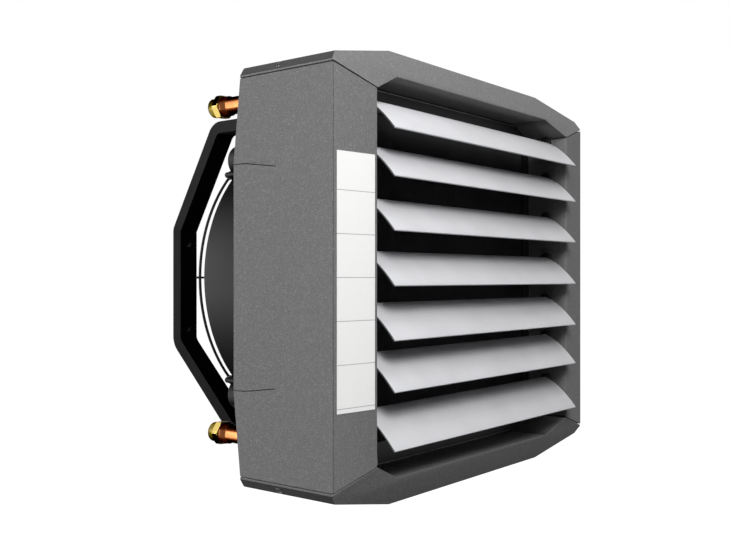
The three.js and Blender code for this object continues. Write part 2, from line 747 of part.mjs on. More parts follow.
// A header is an upright pipe, open towards its outlet, with a stub for every tube.
function header(row, pipeZ) {
  const pipeUp = pipeZ > 0;
  const tubesEnd = tubeHeights[tubeCount - 1] + headerOverrun;
  const low = pipeUp ? -tubesEnd : pipeZ - headerRadius;
  const high = pipeUp ? pipeZ + headerRadius : tubesEnd;
  const shell = barZ(headerRadius, low, high, -headerOffset, row, 16);
  const stubs = tubeHeights.map((z) => barX(
    tubeRadius, -headerOffset + headerRadius - 2, -tubeEndX - clearance, row, z, 6));
  const bore = barZ(headerRadius - headerWall, low + 2, high - 2, -headerOffset, row, 12);
  const outlet = barY(unionBoreRadius, row, row + headerRadius + 1, -headerOffset, pipeZ, 16);
  return cut(join(shell, ...stubs), bore, outlet);
}

function pipe(row, pipeZ) {
  return cut(
    barY(headerRadius, row, pipeEnd, -headerOffset, pipeZ, 16),
    barY(headerRadius - headerWall, row - 1, pipeEnd + 1, -headerOffset, pipeZ, 12),
    barZ(
      headerRadius + clearance, pipeZ - 2 * headerRadius, pipeZ + 2 * headerRadius,
      -headerOffset, row, 16));
}

// A brass union: a conical collar, a hexagon and a round nose with the thread's bore.
function union(pipeZ, turn) {
  const fit = headerRadius + clearance;
  const body = turned([
    [fit, unionFront], [fit + unionRimWall, unionFront], [unionCollarRadius, unionFront + unionTaper],
    [unionCollarRadius, unionHexStart + 1], [unionNoseRadius, unionHexEnd - 1],
    [unionNoseRadius, unionEnd - unionNoseRounding],
    [unionNoseRadius - unionNoseRounding * 0.2, unionEnd - unionNoseRounding * 0.27],
    [unionNoseRadius - unionNoseRounding * 0.6, unionEnd],
    [unionBoreRadius, unionEnd], [unionBoreRadius, pipeEnd + clearance], [fit, pipeEnd + clearance],
  ], 0, 0, 20);
  const hexRadius = unionHexFlats / 2 / Math.cos(Math.PI / 6);
  const hex = barY(hexRadius, unionHexStart, unionHexEnd, 0, 0, 6);
  hex.rotateY(THREE.MathUtils.degToRad(turn - 30));
  const bore = turned([
    [0, unionFront - 1], [fit, unionFront - 1], [fit, pipeEnd + clearance],
    [unionBoreRadius, pipeEnd + clearance], [unionBoreRadius, unionEnd + 1], [0, unionEnd + 1],
  ], 0, 0, 20);
  return cut(join(body, hex), bore).translate(-headerOffset, 0, pipeZ);
}

addPiece('coil_frame', coilFrame(), darkPlastic);
addPiece('fin_block', finBlock(), aluminium);
addPiece('hairpin_tubes', hairpinTubes(), copper);
addPiece('coil_end_plate', leftEndPlate(), zinc);
addPiece('supply_header', header(supplyRow, supplyPipeHeight), copper);
addPiece('return_header', header(returnRow, returnPipeHeight), copper);
addPiece('supply_pipe', pipe(supplyRow, supplyPipeHeight), copper);
addPiece('return_pipe', pipe(returnRow, returnPipeHeight), copper);
addPiece('supply_union', union(supplyPipeHeight, supplyNutTurn), brass);
addPiece('return_union', union(returnPipeHeight, returnNutTurn), brass);

// ---- Back plate, fan duct and guard ----

const screwPlaces = fourWays(screwAngle).map((angle) => polar(shroudRadius + screwOverhang, angle));

function backPlate() {
  const plate = prismY(hollowOutline(clearance), backPlateDepth, backPlateRear);
  const through = [backPlateDepth - 1, backPlateRear + 1];
  const pipeHoles = [returnPipeHeight, supplyPipeHeight]
    .map((z) => barY(headerRadius + 1, ...through, -headerOffset, z, 20));
  const screwHoles = screwPlaces.map(([x, z]) => barY(guardScrewRadius + clearance, ...through, x, z, 10));
  return cut(plate, barY(fanHoleRadius, ...through, 0, 0, 44), ...pipeHoles, ...screwHoles);
}

function fanShroud() {
  const body = turned([
    [0, shroudFront], [shroudFlangeRadius, shroudFront],
    [shroudFlangeRadius, shroudFront + shroudFlangeThickness],
    [shroudRadius, shroudFront + shroudFlangeThickness + 2],
    [shroudRadius, shroudEnd - 3], [shroudRadius - 1.5, shroudEnd], [0, shroudEnd],
  ], 0, 0, 44);
  const ears = fourWays(earAngle).map((angle) => {
    const [x, z] = polar(shroudRadius + earOverhang, angle);
    return barY(earRadius, shroudEnd - earSetback - earLength, shroudEnd - earSetback, x, z, 20);
  });
  const columns = screwPlaces.map(([x, z]) => barY(screwColumnRadius, shroudFront, shroudEnd, x, z, 12));
  const bore = turned([
    [0, shroudFront - 1], [fanHoleRadius, shroudFront - 1],
    [fanHoleRadius, shroudFront + shroudMouthLength / 4],
    [shroudBore, shroudFront + shroudMouthLength], [shroudBore, shroudEnd + 1], [0, shroudEnd + 1],
  ], 0, 0, 44);
  const screwHoles = screwPlaces.map(
    ([x, z]) => barY(guardScrewRadius + clearance, shroudFront - 1, shroudEnd + 1, x, z, 10));
  return cut(join(body, ...ears, ...columns), bore, ...screwHoles);
}

// A flat grille of welded wire, with an eyelet at each screw and a plate for the motor.
function fanGuard() {
  const ring = (radius) => new THREE.TorusGeometry(radius, guardRingWire, 4, 36)
    .rotateX(Math.PI / 2).translate(0, guardPlane, 0);
  const spokeStart = motorPlateRadius - 4;
  const spokeEnd = shroudRadius + guardSpokeOverrun;
  const spokePlane = guardPlane + guardRingWire + guardSpokeWire * 0.6;
  const spokes = Array.from({ length: guardSpokes }, (_, i) => barX(
    guardSpokeWire, spokeStart, spokeEnd, spokePlane, 0, 6).rotateY(i * 2 * Math.PI / guardSpokes));
  const plateTop = spokePlane + guardSpokeWire / 2;
  const plate = barY(motorPlateRadius, guardPlane - motorPlateThickness / 2, plateTop, 0, 0, 32);
  const eyeletFront = shroudEnd + clearance;
  const eyelets = screwPlaces.map(
    ([x, z]) => barY(eyeletRadius, eyeletFront, eyeletFront + eyeletThickness, x, z, 12));
  const legs = screwPlaces.map(([x, z]) => {
    const scale = shroudRadius / Math.hypot(x, z);
    return barY(guardRingWire * 0.9, eyeletFront + 0.5, guardPlane, x * scale, z * scale, 8);
  });
  const holes = screwPlaces.map(([x, z]) => barY(
    guardScrewRadius + clearance, eyeletFront - 1, eyeletFront + eyeletThickness + 1, x, z, 10));
  const bars = [...guardRings.map(ring), ...spokes, plate, ...eyelets, ...legs];
  return cut(join(...bars), ...holes);
}

// A long screw that clamps the guard and the fan duct to the back plate.
function guardScrew() {
  const seat = shroudEnd + clearance + eyeletThickness + clearance;
  const head = turned([
    [0, seat], [guardScrewHeadRadius, seat], [guardScrewHeadRadius * 0.9, seat + guardScrewHeadHeight * 0.6],
    [guardScrewHeadRadius * 0.5, seat + guardScrewHeadHeight], [0, seat + guardScrewHeadHeight],
  ], 0, 0, 14);
  return join(head, barY(guardScrewRadius, backPlateDepth - 4, seat + 1, 0, 0, 10));
}

addPiece('back_plate', backPlate(), zinc);
addPiece('fan_shroud', fanShroud(), ductPlastic);
addPiece('fan_guard', fanGuard(), blackPaint);
screwPlaces.forEach(([x, z], i) => {
  addPiece(`guard_screw_${i + 1}`, guardScrew(), blackPaint).position.set(x, 0, z);
});

// ---- Fan ----

function fanMotor() {
  const can = turned([
    [0, motorFront], [motorRadius - 6, motorFront], [motorRadius, motorFront + 6],
    [motorRadius, motorRear - 3], [motorRadius - 2, motorRear], [0, motorRear],
  ], 0, 0, 32);
  return join(can, barY(shaftRadius, motorFront - shaftLength, motorFront + 1, 0, 0, 16));
}

// One blade, as sections across its length that grow wider and flatter towards the tip.
function fanBlade(angle) {
  const rootRadius = hubRadius - 3;
  const tipRadius = shroudBore - bladeTipRoom;
  const middle = (hubFront + hubRear) / 2;
  const stations = 5;
  const rings = Array.from({ length: stations }, (_, i) => {
    const share = i / (stations - 1);
    const radius = rootRadius + (tipRadius - rootRadius) * share;
    const chord = THREE.MathUtils.lerp(bladeRootChord, bladeTipChord, share);
    const pitch = THREE.MathUtils.degToRad(THREE.MathUtils.lerp(bladeRootPitch, bladeTipPitch, share));
    const thin = bladeThickness / 2;
    const section = [
      [-0.5, 0], [-0.25, thin], [0, thin * 1.3], [0.25, thin], [0.5, 0],
      [0.25, -thin * 0.6], [0, -thin * 0.4], [-0.25, -thin * 0.6],
    ];
    return section.map(([along, up]) => {
      const a = along * chord;
      const around = (a * Math.cos(pitch) - up * Math.sin(pitch)) / radius;
      const y = middle + a * Math.sin(pitch) * 0.8 + up * Math.cos(pitch);
      return new THREE.Vector3(radius * Math.cos(around), y, radius * Math.sin(around));
    });
  });
  return loft(rings).rotateY(angle);
}

function impeller() {
  const hub = turned([
    [0, hubFront], [hubRadius - 10, hubFront], [hubRadius - 2, hubFront + 6], [hubRadius, hubFront + 16],
    [hubRadius, hubRear], [hubRadius - hubWall, hubRear], [hubRadius - hubWall, hubFront + 20],
    [shaftRadius + 8, hubFront + 12], [shaftRadius + 8, hubRear - 4], [shaftRadius + clearance, hubRear - 4],
    [shaftRadius + clearance, hubRear - shaftLength], [0, hubRear - shaftLength],
  ], 0, 0, 32);
  const blades = Array.from({ length: bladeCount }, (_, i) => fanBlade(i * 2 * Math.PI / bladeCount));
  const core = barY(hubRadius - hubWall + 1, hubFront + 20, hubRear + 1, 0, 0, 32);
  const bladesOutside = blades.map((blade) => cut(blade, core));
  return join(hub, ...bladesOutside);
}

addPiece('fan_motor', fanMotor(), zinc);
addPiece('impeller', impeller(), darkPlastic);

// ---- Terminal box, beside the fan duct ----

const boxFront = backPlateRear + clearance;
const boxRear = boxFront + boxDepth;

function terminalBox() {
  const inner = boxWidth / 2 - boxWall;
  return cut(
    block(-boxWidth / 2, boxWidth / 2, boxFront, boxRear, -boxHeight / 2, boxHeight / 2),
    block(-inner, inner, boxFront + boxWall, boxRear + 1, boxWall - boxHeight / 2, boxHeight / 2 - boxWall),
    barZ(glandRadius * 0.7 + clearance, -boxHeight / 2 - 1, boxWall + 1 - boxHeight / 2,
      0, (boxFront + boxRear) / 2, 16));
}

function boxLid() {
  const front = boxRear + clearance;
  const rim = 1;
  return join(
    block(-boxWidth / 2, boxWidth / 2, front, front + lidThickness, -boxHeight / 2, boxHeight / 2),
    block(rim - boxWidth / 2 + boxWall, boxWidth / 2 - boxWall - rim, front - 3, front + 1,
      rim + boxWall - boxHeight / 2, boxHeight / 2 - boxWall - rim));
}

function cableGland() {
  const top = -boxHeight / 2 - clearance;
  const body = join(
    barZ(glandRadius, top - 6, top, 0, 0, 6),
    barZ(glandRadius * 0.85, top - glandLength, top - 5, 0, 0, 16),
    barZ(glandRadius * 0.7, top - 1, top + boxWall + 5, 0, 0, 16));
  return cut(body, barZ(glandBore, top - glandLength - 1, top + boxWall + 6, 0, 0, 12));
}

const boxPlace = new THREE.Group();
boxPlace.position.x = boxInnerX + boxWidth / 2;
heater.add(boxPlace);
addPiece('terminal_box', terminalBox(), darkPlastic, boxPlace);
addPiece('terminal_box_lid', boxLid(), darkPlastic, boxPlace);
addPiece('cable_gland', cableGland(), darkPlastic, boxPlace).position.y = (boxFront + boxRear) / 2;

// ---- Blank label on the left pillar ----

const pillarTilt = Math.atan2(noseDepth, pillarWidth);
const label = addPiece(
  'blank_label',
  block(
    labelInset, labelInset + labelWidth, -clearance - labelThickness, -clearance,
    -labelHeight / 2, labelHeight / 2),
  paper);
label.position.set(-halfWidth, 0, labelMiddle);
label.rotation.z = -pillarTilt;

export default part;
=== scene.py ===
import json
from math import cos, pi, radians, sin, tan

import bmesh
import bpy
from mathutils import Matrix, Vector


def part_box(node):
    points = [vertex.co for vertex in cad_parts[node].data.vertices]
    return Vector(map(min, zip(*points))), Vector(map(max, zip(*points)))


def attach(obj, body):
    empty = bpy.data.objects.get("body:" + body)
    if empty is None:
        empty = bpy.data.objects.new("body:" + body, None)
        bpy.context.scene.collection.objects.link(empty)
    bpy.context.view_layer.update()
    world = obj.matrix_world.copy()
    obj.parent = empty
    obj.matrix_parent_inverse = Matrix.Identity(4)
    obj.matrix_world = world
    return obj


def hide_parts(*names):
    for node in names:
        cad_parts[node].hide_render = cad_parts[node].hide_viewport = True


# Fan heater in its bracket: foam casing, louvres, fan duct and pipe unions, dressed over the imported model.
# Metres throughout, +Z up, the wall face at y = 0, the room towards -Y.

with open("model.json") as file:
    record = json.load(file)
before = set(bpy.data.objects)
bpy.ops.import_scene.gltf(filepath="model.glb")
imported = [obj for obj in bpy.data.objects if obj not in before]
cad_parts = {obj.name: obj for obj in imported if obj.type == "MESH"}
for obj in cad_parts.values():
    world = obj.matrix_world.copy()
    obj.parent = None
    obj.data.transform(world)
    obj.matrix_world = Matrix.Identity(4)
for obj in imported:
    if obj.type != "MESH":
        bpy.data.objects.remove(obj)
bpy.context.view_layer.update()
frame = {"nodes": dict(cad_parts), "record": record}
frontY = -0.597  # the casing's front corners; sizes called depths are measured back from here
ends = ((1, "top"), (-1, "bottom"))
hands = ((1, "right"), (-1, "left"))
print("frame loaded:", len(frame["nodes"]), "nodes")


# camera and light

cameraSetup = {
    "place": (-1.0452, -1.2304, 0.0),
    "turn": (90, 0, -51.62),
    "lens": 45.43,
    "sensor": 36,
    "shiftUp": 0.0048,
}

studio = {
    "skyLow": 0.04,  # strength of the room's light from straight below and straight above
    "skyHigh": 0.32,
    "lamps": {  # place, aim, width, height, power
        "keyLamp": ((-1.45, -2.00, 1.45), (0.0, -0.55, 0.0), 0.9, 0.9, 43.0),
        "frontLamp": ((-0.75, -1.35, 0.55), (-0.27, -0.60, 0.10), 0.4, 0.4, 4.2),
        "backLamp": ((1.30, 1.60, 1.30), (0.0, -0.35, 0.0), 0.9, 0.9, 22.0),
        "topLamp": ((0.30, -1.30, 1.90), (0.0, -0.58, 0.0), 0.7, 0.7, 9.0),
        "stripLamp": ((-1.55, 0.75, 0.0), (-0.25, -0.36, 0.0), 0.55, 1.4, 16.0),
    },
    "floorHeight": -0.95,
    "floorSize": 120.0,
    "floorColour": "#e4e4e4",
    "floorBounce": "#444445",  # what the floor sends back to the object
    "glowShare": 0.72,
    "glowStrength": 1.33,
}


def linearColour(code):
    parts = [int(code[i:i + 2], 16) / 255 for i in (1, 3, 5)]
    return tuple(p / 12.92 if p <= 0.04045 else ((p + 0.055) / 1.055) ** 2.4 for p in parts) + (1.0,)


def emptyTree(owner):
    owner.use_nodes = True
    owner.node_tree.nodes.clear()
    return owner.node_tree


def addNode(tree, kind, settings=None):
    # a setting is the node's own, a value for one of its sockets, or another node's socket to link there
    node = tree.nodes.new(kind)
    for key, value in (settings or {}).items():
        if isinstance(value, bpy.types.NodeSocket):
            tree.links.new(value, node.inputs[key])
        elif isinstance(key, int) or key in node.inputs:
            node.inputs[key].default_value = value
        else:
            setattr(node, key, value)
    return node


def worked(tree, operation, *values):
    # a sum of sockets and numbers
    return addNode(tree, "ShaderNodeMath", {"operation": operation, **dict(enumerate(values))}).outputs[0]


def seenWhite(tree):
    # 1 for rays that the eye, gloss or glass sends out
    rays = addNode(tree, "ShaderNodeLightPath").outputs
    direct = worked(tree, "MAXIMUM", rays["Is Camera Ray"], rays["Is Glossy Ray"])
    return worked(tree, "MAXIMUM", direct, rays["Is Transmission Ray"])


def blended(tree, share, first, second):
    return addNode(tree, "ShaderNodeMixShader", {0: share, 1: first.outputs[0], 2: second.outputs[0]})


def addCamera():
    turn = [radians(a) for a in cameraSetup["turn"]]
    bpy.ops.object.camera_add(location=cameraSetup["place"], rotation=turn)
    camera = bpy.context.active_object
    camera.name = "photoCamera"
    camera.data.lens = cameraSetup["lens"]
    camera.data.sensor_width = cameraSetup["sensor"]
    camera.data.shift_y = cameraSetup["shiftUp"]
    bpy.context.scene.camera = camera
    bpy.context.scene.view_settings.view_transform = "Standard"


def addLamp(name, place, aim, width, height, power):
    turn = (Vector(aim) - Vector(place)).to_track_quat("-Z", "Y").to_euler()
    bpy.ops.object.light_add(type="AREA", location=place, rotation=turn)
    lamp = bpy.context.active_object
    lamp.name = name
    lamp.data.shape = "RECTANGLE"
    lamp.data.size = width
    lamp.data.size_y = height
    lamp.data.energy = power


def addSky():
    world = bpy.data.worlds.new("whiteRoom")
    bpy.context.scene.world = world
    tree = emptyTree(world)
    direction = addNode(tree, "ShaderNodeTexCoord").outputs["Generated"]
    up = addNode(tree, "ShaderNodeSeparateXYZ", {"Vector": direction}).outputs["Z"]
    level = addNode(tree, "ShaderNodeMapRange", {
        "From Min": -1.0, "To Min": studio["skyLow"], "To Max": studio["skyHigh"], "Value": up})
    dim = addNode(tree, "ShaderNodeBackground", {"Color": (1, 1, 1, 1), "Strength": level.outputs[0]})
    bright = addNode(tree, "ShaderNodeBackground", {"Color": (1, 1, 1, 1), "Strength": 1.0})
    mixed = blended(tree, seenWhite(tree), dim, bright)
    addNode(tree, "ShaderNodeOutputWorld", {"Surface": mixed.outputs[0]})


def addFloor():
    bpy.ops.mesh.primitive_plane_add(size=studio["floorSize"], location=(0, 0, studio["floorHeight"]))
    floor = bpy.context.active_object
    floor.name = "studioFloor"
    material = bpy.data.materials.new("paintedFloor")
    tree = emptyTree(material)
    # the eye sees pale paint lifted to white, under the object's shadow
    bounce, paint = (addNode(tree, "ShaderNodeBsdfDiffuse", {"Color": linearColour(studio[key])})
                     for key in ("floorBounce", "floorColour"))
    glow = addNode(tree, "ShaderNodeEmission", {"Color": (1, 1, 1, 1), "Strength": studio["glowStrength"]})
    lifted = blended(tree, studio["glowShare"], paint, glow)
    mixed = blended(tree, seenWhite(tree), bounce, lifted)
    addNode(tree, "ShaderNodeOutputMaterial", {"Surface": mixed.outputs[0]})
    floor.data.materials.append(material)


addCamera()
addSky()
for lampName, lampSetup in studio["lamps"].items():
    addLamp(lampName, *lampSetup)
addFloor()
print("camera, lamps and floor set")


# materials

def startMaterial(name, settings):
    material = bpy.data.materials.new(name)
    tree = emptyTree(material)
    skin = addNode(tree, "ShaderNodeBsdfPrincipled", settings)
    addNode(tree, "ShaderNodeOutputMaterial", {"Surface": skin.outputs["BSDF"]})
    return material, tree, addNode(tree, "ShaderNodeTexCoord").outputs["Object"]


def plugIn(tree, colour, normal=None, roughness=None):
    skin = tree.nodes["Principled BSDF"].inputs
    for key, socket in (("Base Color", colour), ("Normal", normal), ("Roughness", roughness)):
        if socket is not None:
            tree.links.new(socket, skin[key])


def tinted(tree, share, code):
    # lays a second colour over the base colour, as far as share goes
    paint = tree.nodes["Principled BSDF"].inputs["Base Color"].links[0].from_socket
    plugIn(tree, laidOver(tree, share, paint, code))


def laidOver(tree, share, paint, code):
    mixed = addNode(tree, "ShaderNodeMix", {"data_type": "RGBA", 0: share, 6: paint, 7: linearColour(code)})
    return mixed.outputs[2]


def shades(tree, factor, *stops):
    # a colour ramp from sRGB hex stops
    ramp = addNode(tree, "ShaderNodeValToRGB", {"Fac": factor})
    points = ramp.color_ramp.elements
    while len(points) < len(stops):
        points.new(0.5)
    for point, (where, code) in zip(points, stops):
        point.position = where
        point.color = linearColour(code)
    return ramp.outputs["Color"]


def ramped(tree, value, low, high, most=1.0):
    # 0 below low, most above high
    return addNode(tree, "ShaderNodeMapRange", {
        "From Min": low, "From Max": high, "To Max": most, "interpolation_type": "SMOOTHSTEP",
        "Value": value}).outputs[0]


def bumped(tree, height, distance, strength, under=None):
    settings = {"Distance": distance, "Strength": strength, "Height": height}
    if under:
        settings["Normal"] = under
    return addNode(tree, "ShaderNodeBump", settings).outputs["Normal"]


def noise(tree, place, scale, detail):
    settings = {"Scale": scale, "Detail": detail, "Vector": place}
    return addNode(tree, "ShaderNodeTexNoise", settings).outputs["Fac"]


def split(tree, vector):
    return addNode(tree, "ShaderNodeSeparateXYZ", {"Vector": vector}).outputs


def facing(tree):
    # the way that a spot of the surface faces, split into its three axes
    return split(tree, addNode(tree, "ShaderNodeTexCoord").outputs["Normal"])


def satin(tree, marks, roughness):
    # the marks make the gloss uneven round its middle value
    return addNode(tree, "ShaderNodeMapRange", {
        "To Min": roughness * 0.75, "To Max": roughness * 1.3, "Value": marks}).outputs[0]


foamLook = {
    "bead": 0.0030,
    "speck": 0.0011,
    "beadShare": 0.14,
    "tones": ((0.30, "#686868"), (0.50, "#6e6e6e"), (0.68, "#747474"), (0.76, "#848484")),
    # painted shade laid over the chamfers
    "chamfer": "#242424",
    "chamferShadeShare": 0.85,
}


def mouldedFoam():
    # Expanded polypropylene moulded from beads: dull, with each bead a touch lighter or darker.
    # The chamfers, which face between sideways and up or down, get painted shade: a darker colour laid over
    # them.
    material, tree, place = startMaterial(
        "mouldedBeadFoam", {"Roughness": 0.85, "IOR": 1.49, "Specular IOR Level": 0.25})
    beads = addNode(tree, "ShaderNodeTexVoronoi", {"Scale": 1 / foamLook["bead"], "Vector": place}).outputs
    tint = addNode(tree, "ShaderNodeSeparateColor", {"Color": beads["Color"]}).outputs["Red"]
    speck = noise(tree, place, 1 / foamLook["speck"], 1.0)
    blend = worked(tree, "MULTIPLY_ADD", tint, foamLook["beadShare"], speck)
    fine = bumped(tree, speck, 0.0006, 0.8)
    plugIn(tree, shades(tree, blend, *foamLook["tones"]), bumped(tree, beads["Distance"], 0.0004, 0.2, fine))
    # painted shade: faces turned between sideways and up or down are darkened
    way = facing(tree)
    chamferShadeMask = worked(tree, "ABSOLUTE", worked(tree, "MULTIPLY", way["X"], way["Z"]))
    tinted(tree, ramped(tree, chamferShadeMask, 0.28, 0.36, foamLook["chamferShadeShare"]), foamLook["chamfer"])
    return material


def powderCoat(name, body, light, roughness, shine=0.5, depth=0.0001):
    # Baked powder coat: an even film with a slight orange peel.
    material, tree, place = startMaterial(name, {"Roughness": roughness, "Specular IOR Level": shine})
    peel = noise(tree, place, 625.0, 2.0)
    blend = worked(tree, "MULTIPLY_ADD", peel, 0.35, noise(tree, place, 18.0, 3.0))
    plugIn(tree, shades(tree, blend, (0.45, body), (0.9, light)), bumped(tree, peel, depth, 0.6))
    return material


def mouldedPlastic(name, body, light, roughness, shine=0.5, grain=0.0008):
    # Injection moulded polymer with a spark-eroded grain.
    material, tree, place = startMaterial(
        name, {"Roughness": roughness, "IOR": 1.49, "Specular IOR Level": shine})
    cloud = noise(tree, place, 12.0, 2.0)
    plugIn(tree, shades(tree, cloud, (0.3, body), (0.75, light)),
           bumped(tree, noise(tree, place, 1 / grain, 2.0), 0.00015, 0.5))
    return material


def platedSteel(name, body, light, roughness):
    # Bare zinc plate with fine marks that run no special way.
    material, tree, place = startMaterial(name, {"Metallic": 1.0})
    marks = noise(tree, place, 300.0, 4.0)
    cloud = noise(tree, place, 35.0, 3.0)
    plugIn(tree, shades(tree, cloud, (0.3, body), (0.7, light)), bumped(tree, marks, 0.00004, 0.4),
           satin(tree, marks, roughness))
    return material


filmLook = {"ruling": 0.0235, "line": 0.0004, "ink": "#a9aaac"}


def printedFilm():
    # Self-adhesive white film with plain grey ruling and nothing written on it.
    material, tree, place = startMaterial("blankLabelFilm", {"Roughness": 0.45, "IOR": 1.46})
    away = worked(tree, "PINGPONG", split(tree, place)["Z"], filmLook["ruling"])
    white = shades(tree, noise(tree, place, 900.0, 2.0), (0.3, "#ededec"), (0.7, "#f3f3f2"))
    plugIn(tree, laidOver(tree, worked(tree, "LESS_THAN", away, filmLook["line"]), white, filmLook["ink"]))
    return material


paintedLouvre = {"body": "#bababd", "light": "#c3c3c6", "darkEnd": "#5a5b5d", "endFrom": 0.22615}


def louvrePaint():
    # Silver powder coat on the faces; the blade ends, past endFrom, are coloured a darker grey.
    material = powderCoat("silverPowderCoat", paintedLouvre["body"], paintedLouvre["light"], 0.45, 0.4)
    tree = material.node_tree
    out = worked(tree, "ABSOLUTE", split(tree, addNode(tree, "ShaderNodeTexCoord").outputs["Object"])["X"])
    # the blade ends are coloured darker grey
    tinted(tree, worked(tree, "GREATER_THAN", out, paintedLouvre["endFrom"]), paintedLouvre["darkEnd"])
    return material


def bracketPaint():
    # Black powder coat; the faces turned towards the fan get painted shade, near black.
    material = powderCoat("blackPowderCoat", "#2b2b2b", "#333333", 0.75, 0.0, 0.00015)
    tree = material.node_tree
    # painted shade on the faces turned towards -Y, which the casing and the duct shade
    fanSideShadeMask = worked(tree, "MULTIPLY", facing(tree)["Y"], -1.0)
    tinted(tree, ramped(tree, fanSideShadeMask, 0.15, 0.6, 0.97), "#020202")
    return material


def ductPlastic():
    # Grey moulded duct, with painted shade towards its top and bottom, where its faces turn up or down.
    material = mouldedPlastic("mouldedGreyPolypropylene", "#505051", "#555556", 0.7, 0.02, 0.0012)
    tree = material.node_tree
    # painted shade: faces turned up or down are darkened
    paintedLightTilt = worked(tree, "ABSOLUTE", facing(tree)["Z"])
    tinted(tree, ramped(tree, paintedLightTilt, 0.05, 0.65, 0.97), "#060606")
    return material


sheenPaint = {  # colours of the painted reflection band and of the darker metal round it; where the band lies, and its reach
    "drawnCopper": {"bright": "#f2a064", "mid": "#7d3c1a", "dull": "#190a03",
                    "roughness": 0.22, "scale": 700.0, "edgeTint": "#6a3a20",
                    "middle": -0.10, "reach": (0.24, 0.62),
                    "dimmedFrom": -0.3888, "dimmed": "#341004", "dimmedShare": 0.85},
    "turnedBrass": {"bright": "#ecd07a", "mid": "#8a7836", "dull": "#241903",
                    "roughness": 0.20, "scale": 500.0, "edgeTint": "#6a5c30",
                    "middle": -0.50, "reach": (0.22, 0.80),
                    "dimmedFrom": -0.3684, "dimmed": "#57501c", "dimmedShare": 0.75},
}


def sheenPaintedMetal(name):
    # Polished copper alloy with a painted reflection: a bright band on faces turned to the side, as a lamp
    # there would show, and darker metal round the rest. The band lies a little towards the unit's middle, so
    # it's measured from the face's tilt, turned over below.
    look = sheenPaint[name]
    material, tree, place = startMaterial(
        name, {"Metallic": 1.0, "Specular Tint": linearColour(look["edgeTint"])})
    laid = addNode(tree, "ShaderNodeMapping", {"Scale": (1, 0.08, 1), "Vector": place}).outputs[0]
    marks = noise(tree, laid, look["scale"], 4.0)
    where = split(tree, place)
    # painted reflection: the colour follows how far each face tilts from the band's middle
    paintedLightTilt = worked(tree, "MULTIPLY", facing(tree)["Z"], worked(tree, "SIGN", where["Z"]))
    away = worked(tree, "ABSOLUTE", worked(tree, "SUBTRACT", paintedLightTilt, look["middle"]))
    uneven = worked(tree, "MULTIPLY_ADD", marks, 0.12, worked(tree, "SUBTRACT", away, 0.06))
    colour = shades(tree, ramped(tree, uneven, *look["reach"]),
                    (0.0, look["bright"]), (0.45, look["mid"]), (1.0, look["dull"]))
    plugIn(tree, colour, bumped(tree, marks, 0.00004, 0.4), satin(tree, marks, look["roughness"]))
    # painted shade darkens the soldered sleeve next to the nut, and the turned nose is coloured duller than
    # the hexagon
    dimmed = worked(tree, "GREATER_THAN", where["Y"], look["dimmedFrom"])
    tinted(tree, worked(tree, "MULTIPLY", dimmed, look["dimmedShare"]), look["dimmed"])
    return material


materials = {
    "casing_foam": mouldedFoam(),
    "louvre_paint": louvrePaint(),
    "black_plastic": mouldedPlastic("mouldedBlackNylon", "#171718", "#202021", 0.5, 0.3),
    "shroud_plastic": ductPlastic(),
    "bracket_paint": bracketPaint(),
    "guard_wire": powderCoat("blackWireCoat", "#0d0d0e", "#141415", 0.4, 0.15),
    "zinc_steel": platedSteel("zincPlatedSteel", "#8d9196", "#a2a6ab", 0.34),
    "plate_steel": powderCoat("darkGreySheetPaint", "#1e1f20", "#262728", 0.5, 0.3),
    # the fins are coloured dark grey, not their aluminium's own colour: painted shade of the deep gaps
    # between them
    "coil_aluminium": powderCoat("shadeDarkFinCoat", "#3a3a3b", "#444445", 0.6, 0.15, 0.00004),
    "copper": sheenPaintedMetal("drawnCopper"),
    "brass": sheenPaintedMetal("turnedBrass"),
    "label_film": printedFilm(),
}
slotOf = {s["node"]: s["material_slot"] for s in frame["record"]["subparts"]}
bodyOf = {n: b for b, members in frame["record"]["behaviour"]["bodies"].items() for n in members}
for nodeName, node in frame["nodes"].items():
    node.data.materials.clear()
    node.data.materials.append(materials[slotOf[nodeName]])
print("materials made:", len(materials))


# modelling helpers

mergeWithin = {"lathe": 0.000002, "finish": 0.00001, "node": 0.00002}


def setMode(mode):
    bpy.ops.object.mode_set(mode=mode)


def makeActive(piece):
    if bpy.context.object and bpy.context.object.mode != "OBJECT":
        setMode("OBJECT")
    bpy.ops.object.select_all(action="DESELECT")
    piece.select_set(True)
    bpy.context.view_layer.objects.active = piece


def named(name):
    piece = bpy.context.active_object
    piece.name = piece.data.name = name
    return piece


def placeInMesh(piece):
    makeActive(piece)
    bpy.ops.object.transform_apply(location=True, rotation=True, scale=True)
    return piece


def edit(piece, kind=None, action="SELECT"):
    makeActive(piece)
    setMode("EDIT")
    if kind:
        bpy.ops.mesh.select_mode(type=kind)
    bpy.ops.mesh.select_all(action=action)


def pick(piece, kind, test):
    # leaves edit mode open with the chosen corners or faces selected
    edit(piece, kind, "DESELECT")
    setMode("OBJECT")
    for item in piece.data.polygons if kind == "FACE" else piece.data.vertices:
        item.select = bool(test(item))
    setMode("EDIT")


def moveCorners(piece, test, shift):
    pick(piece, "VERT", lambda v: test(v.co))
    bpy.ops.transform.translate(value=shift)
    setMode("OBJECT")


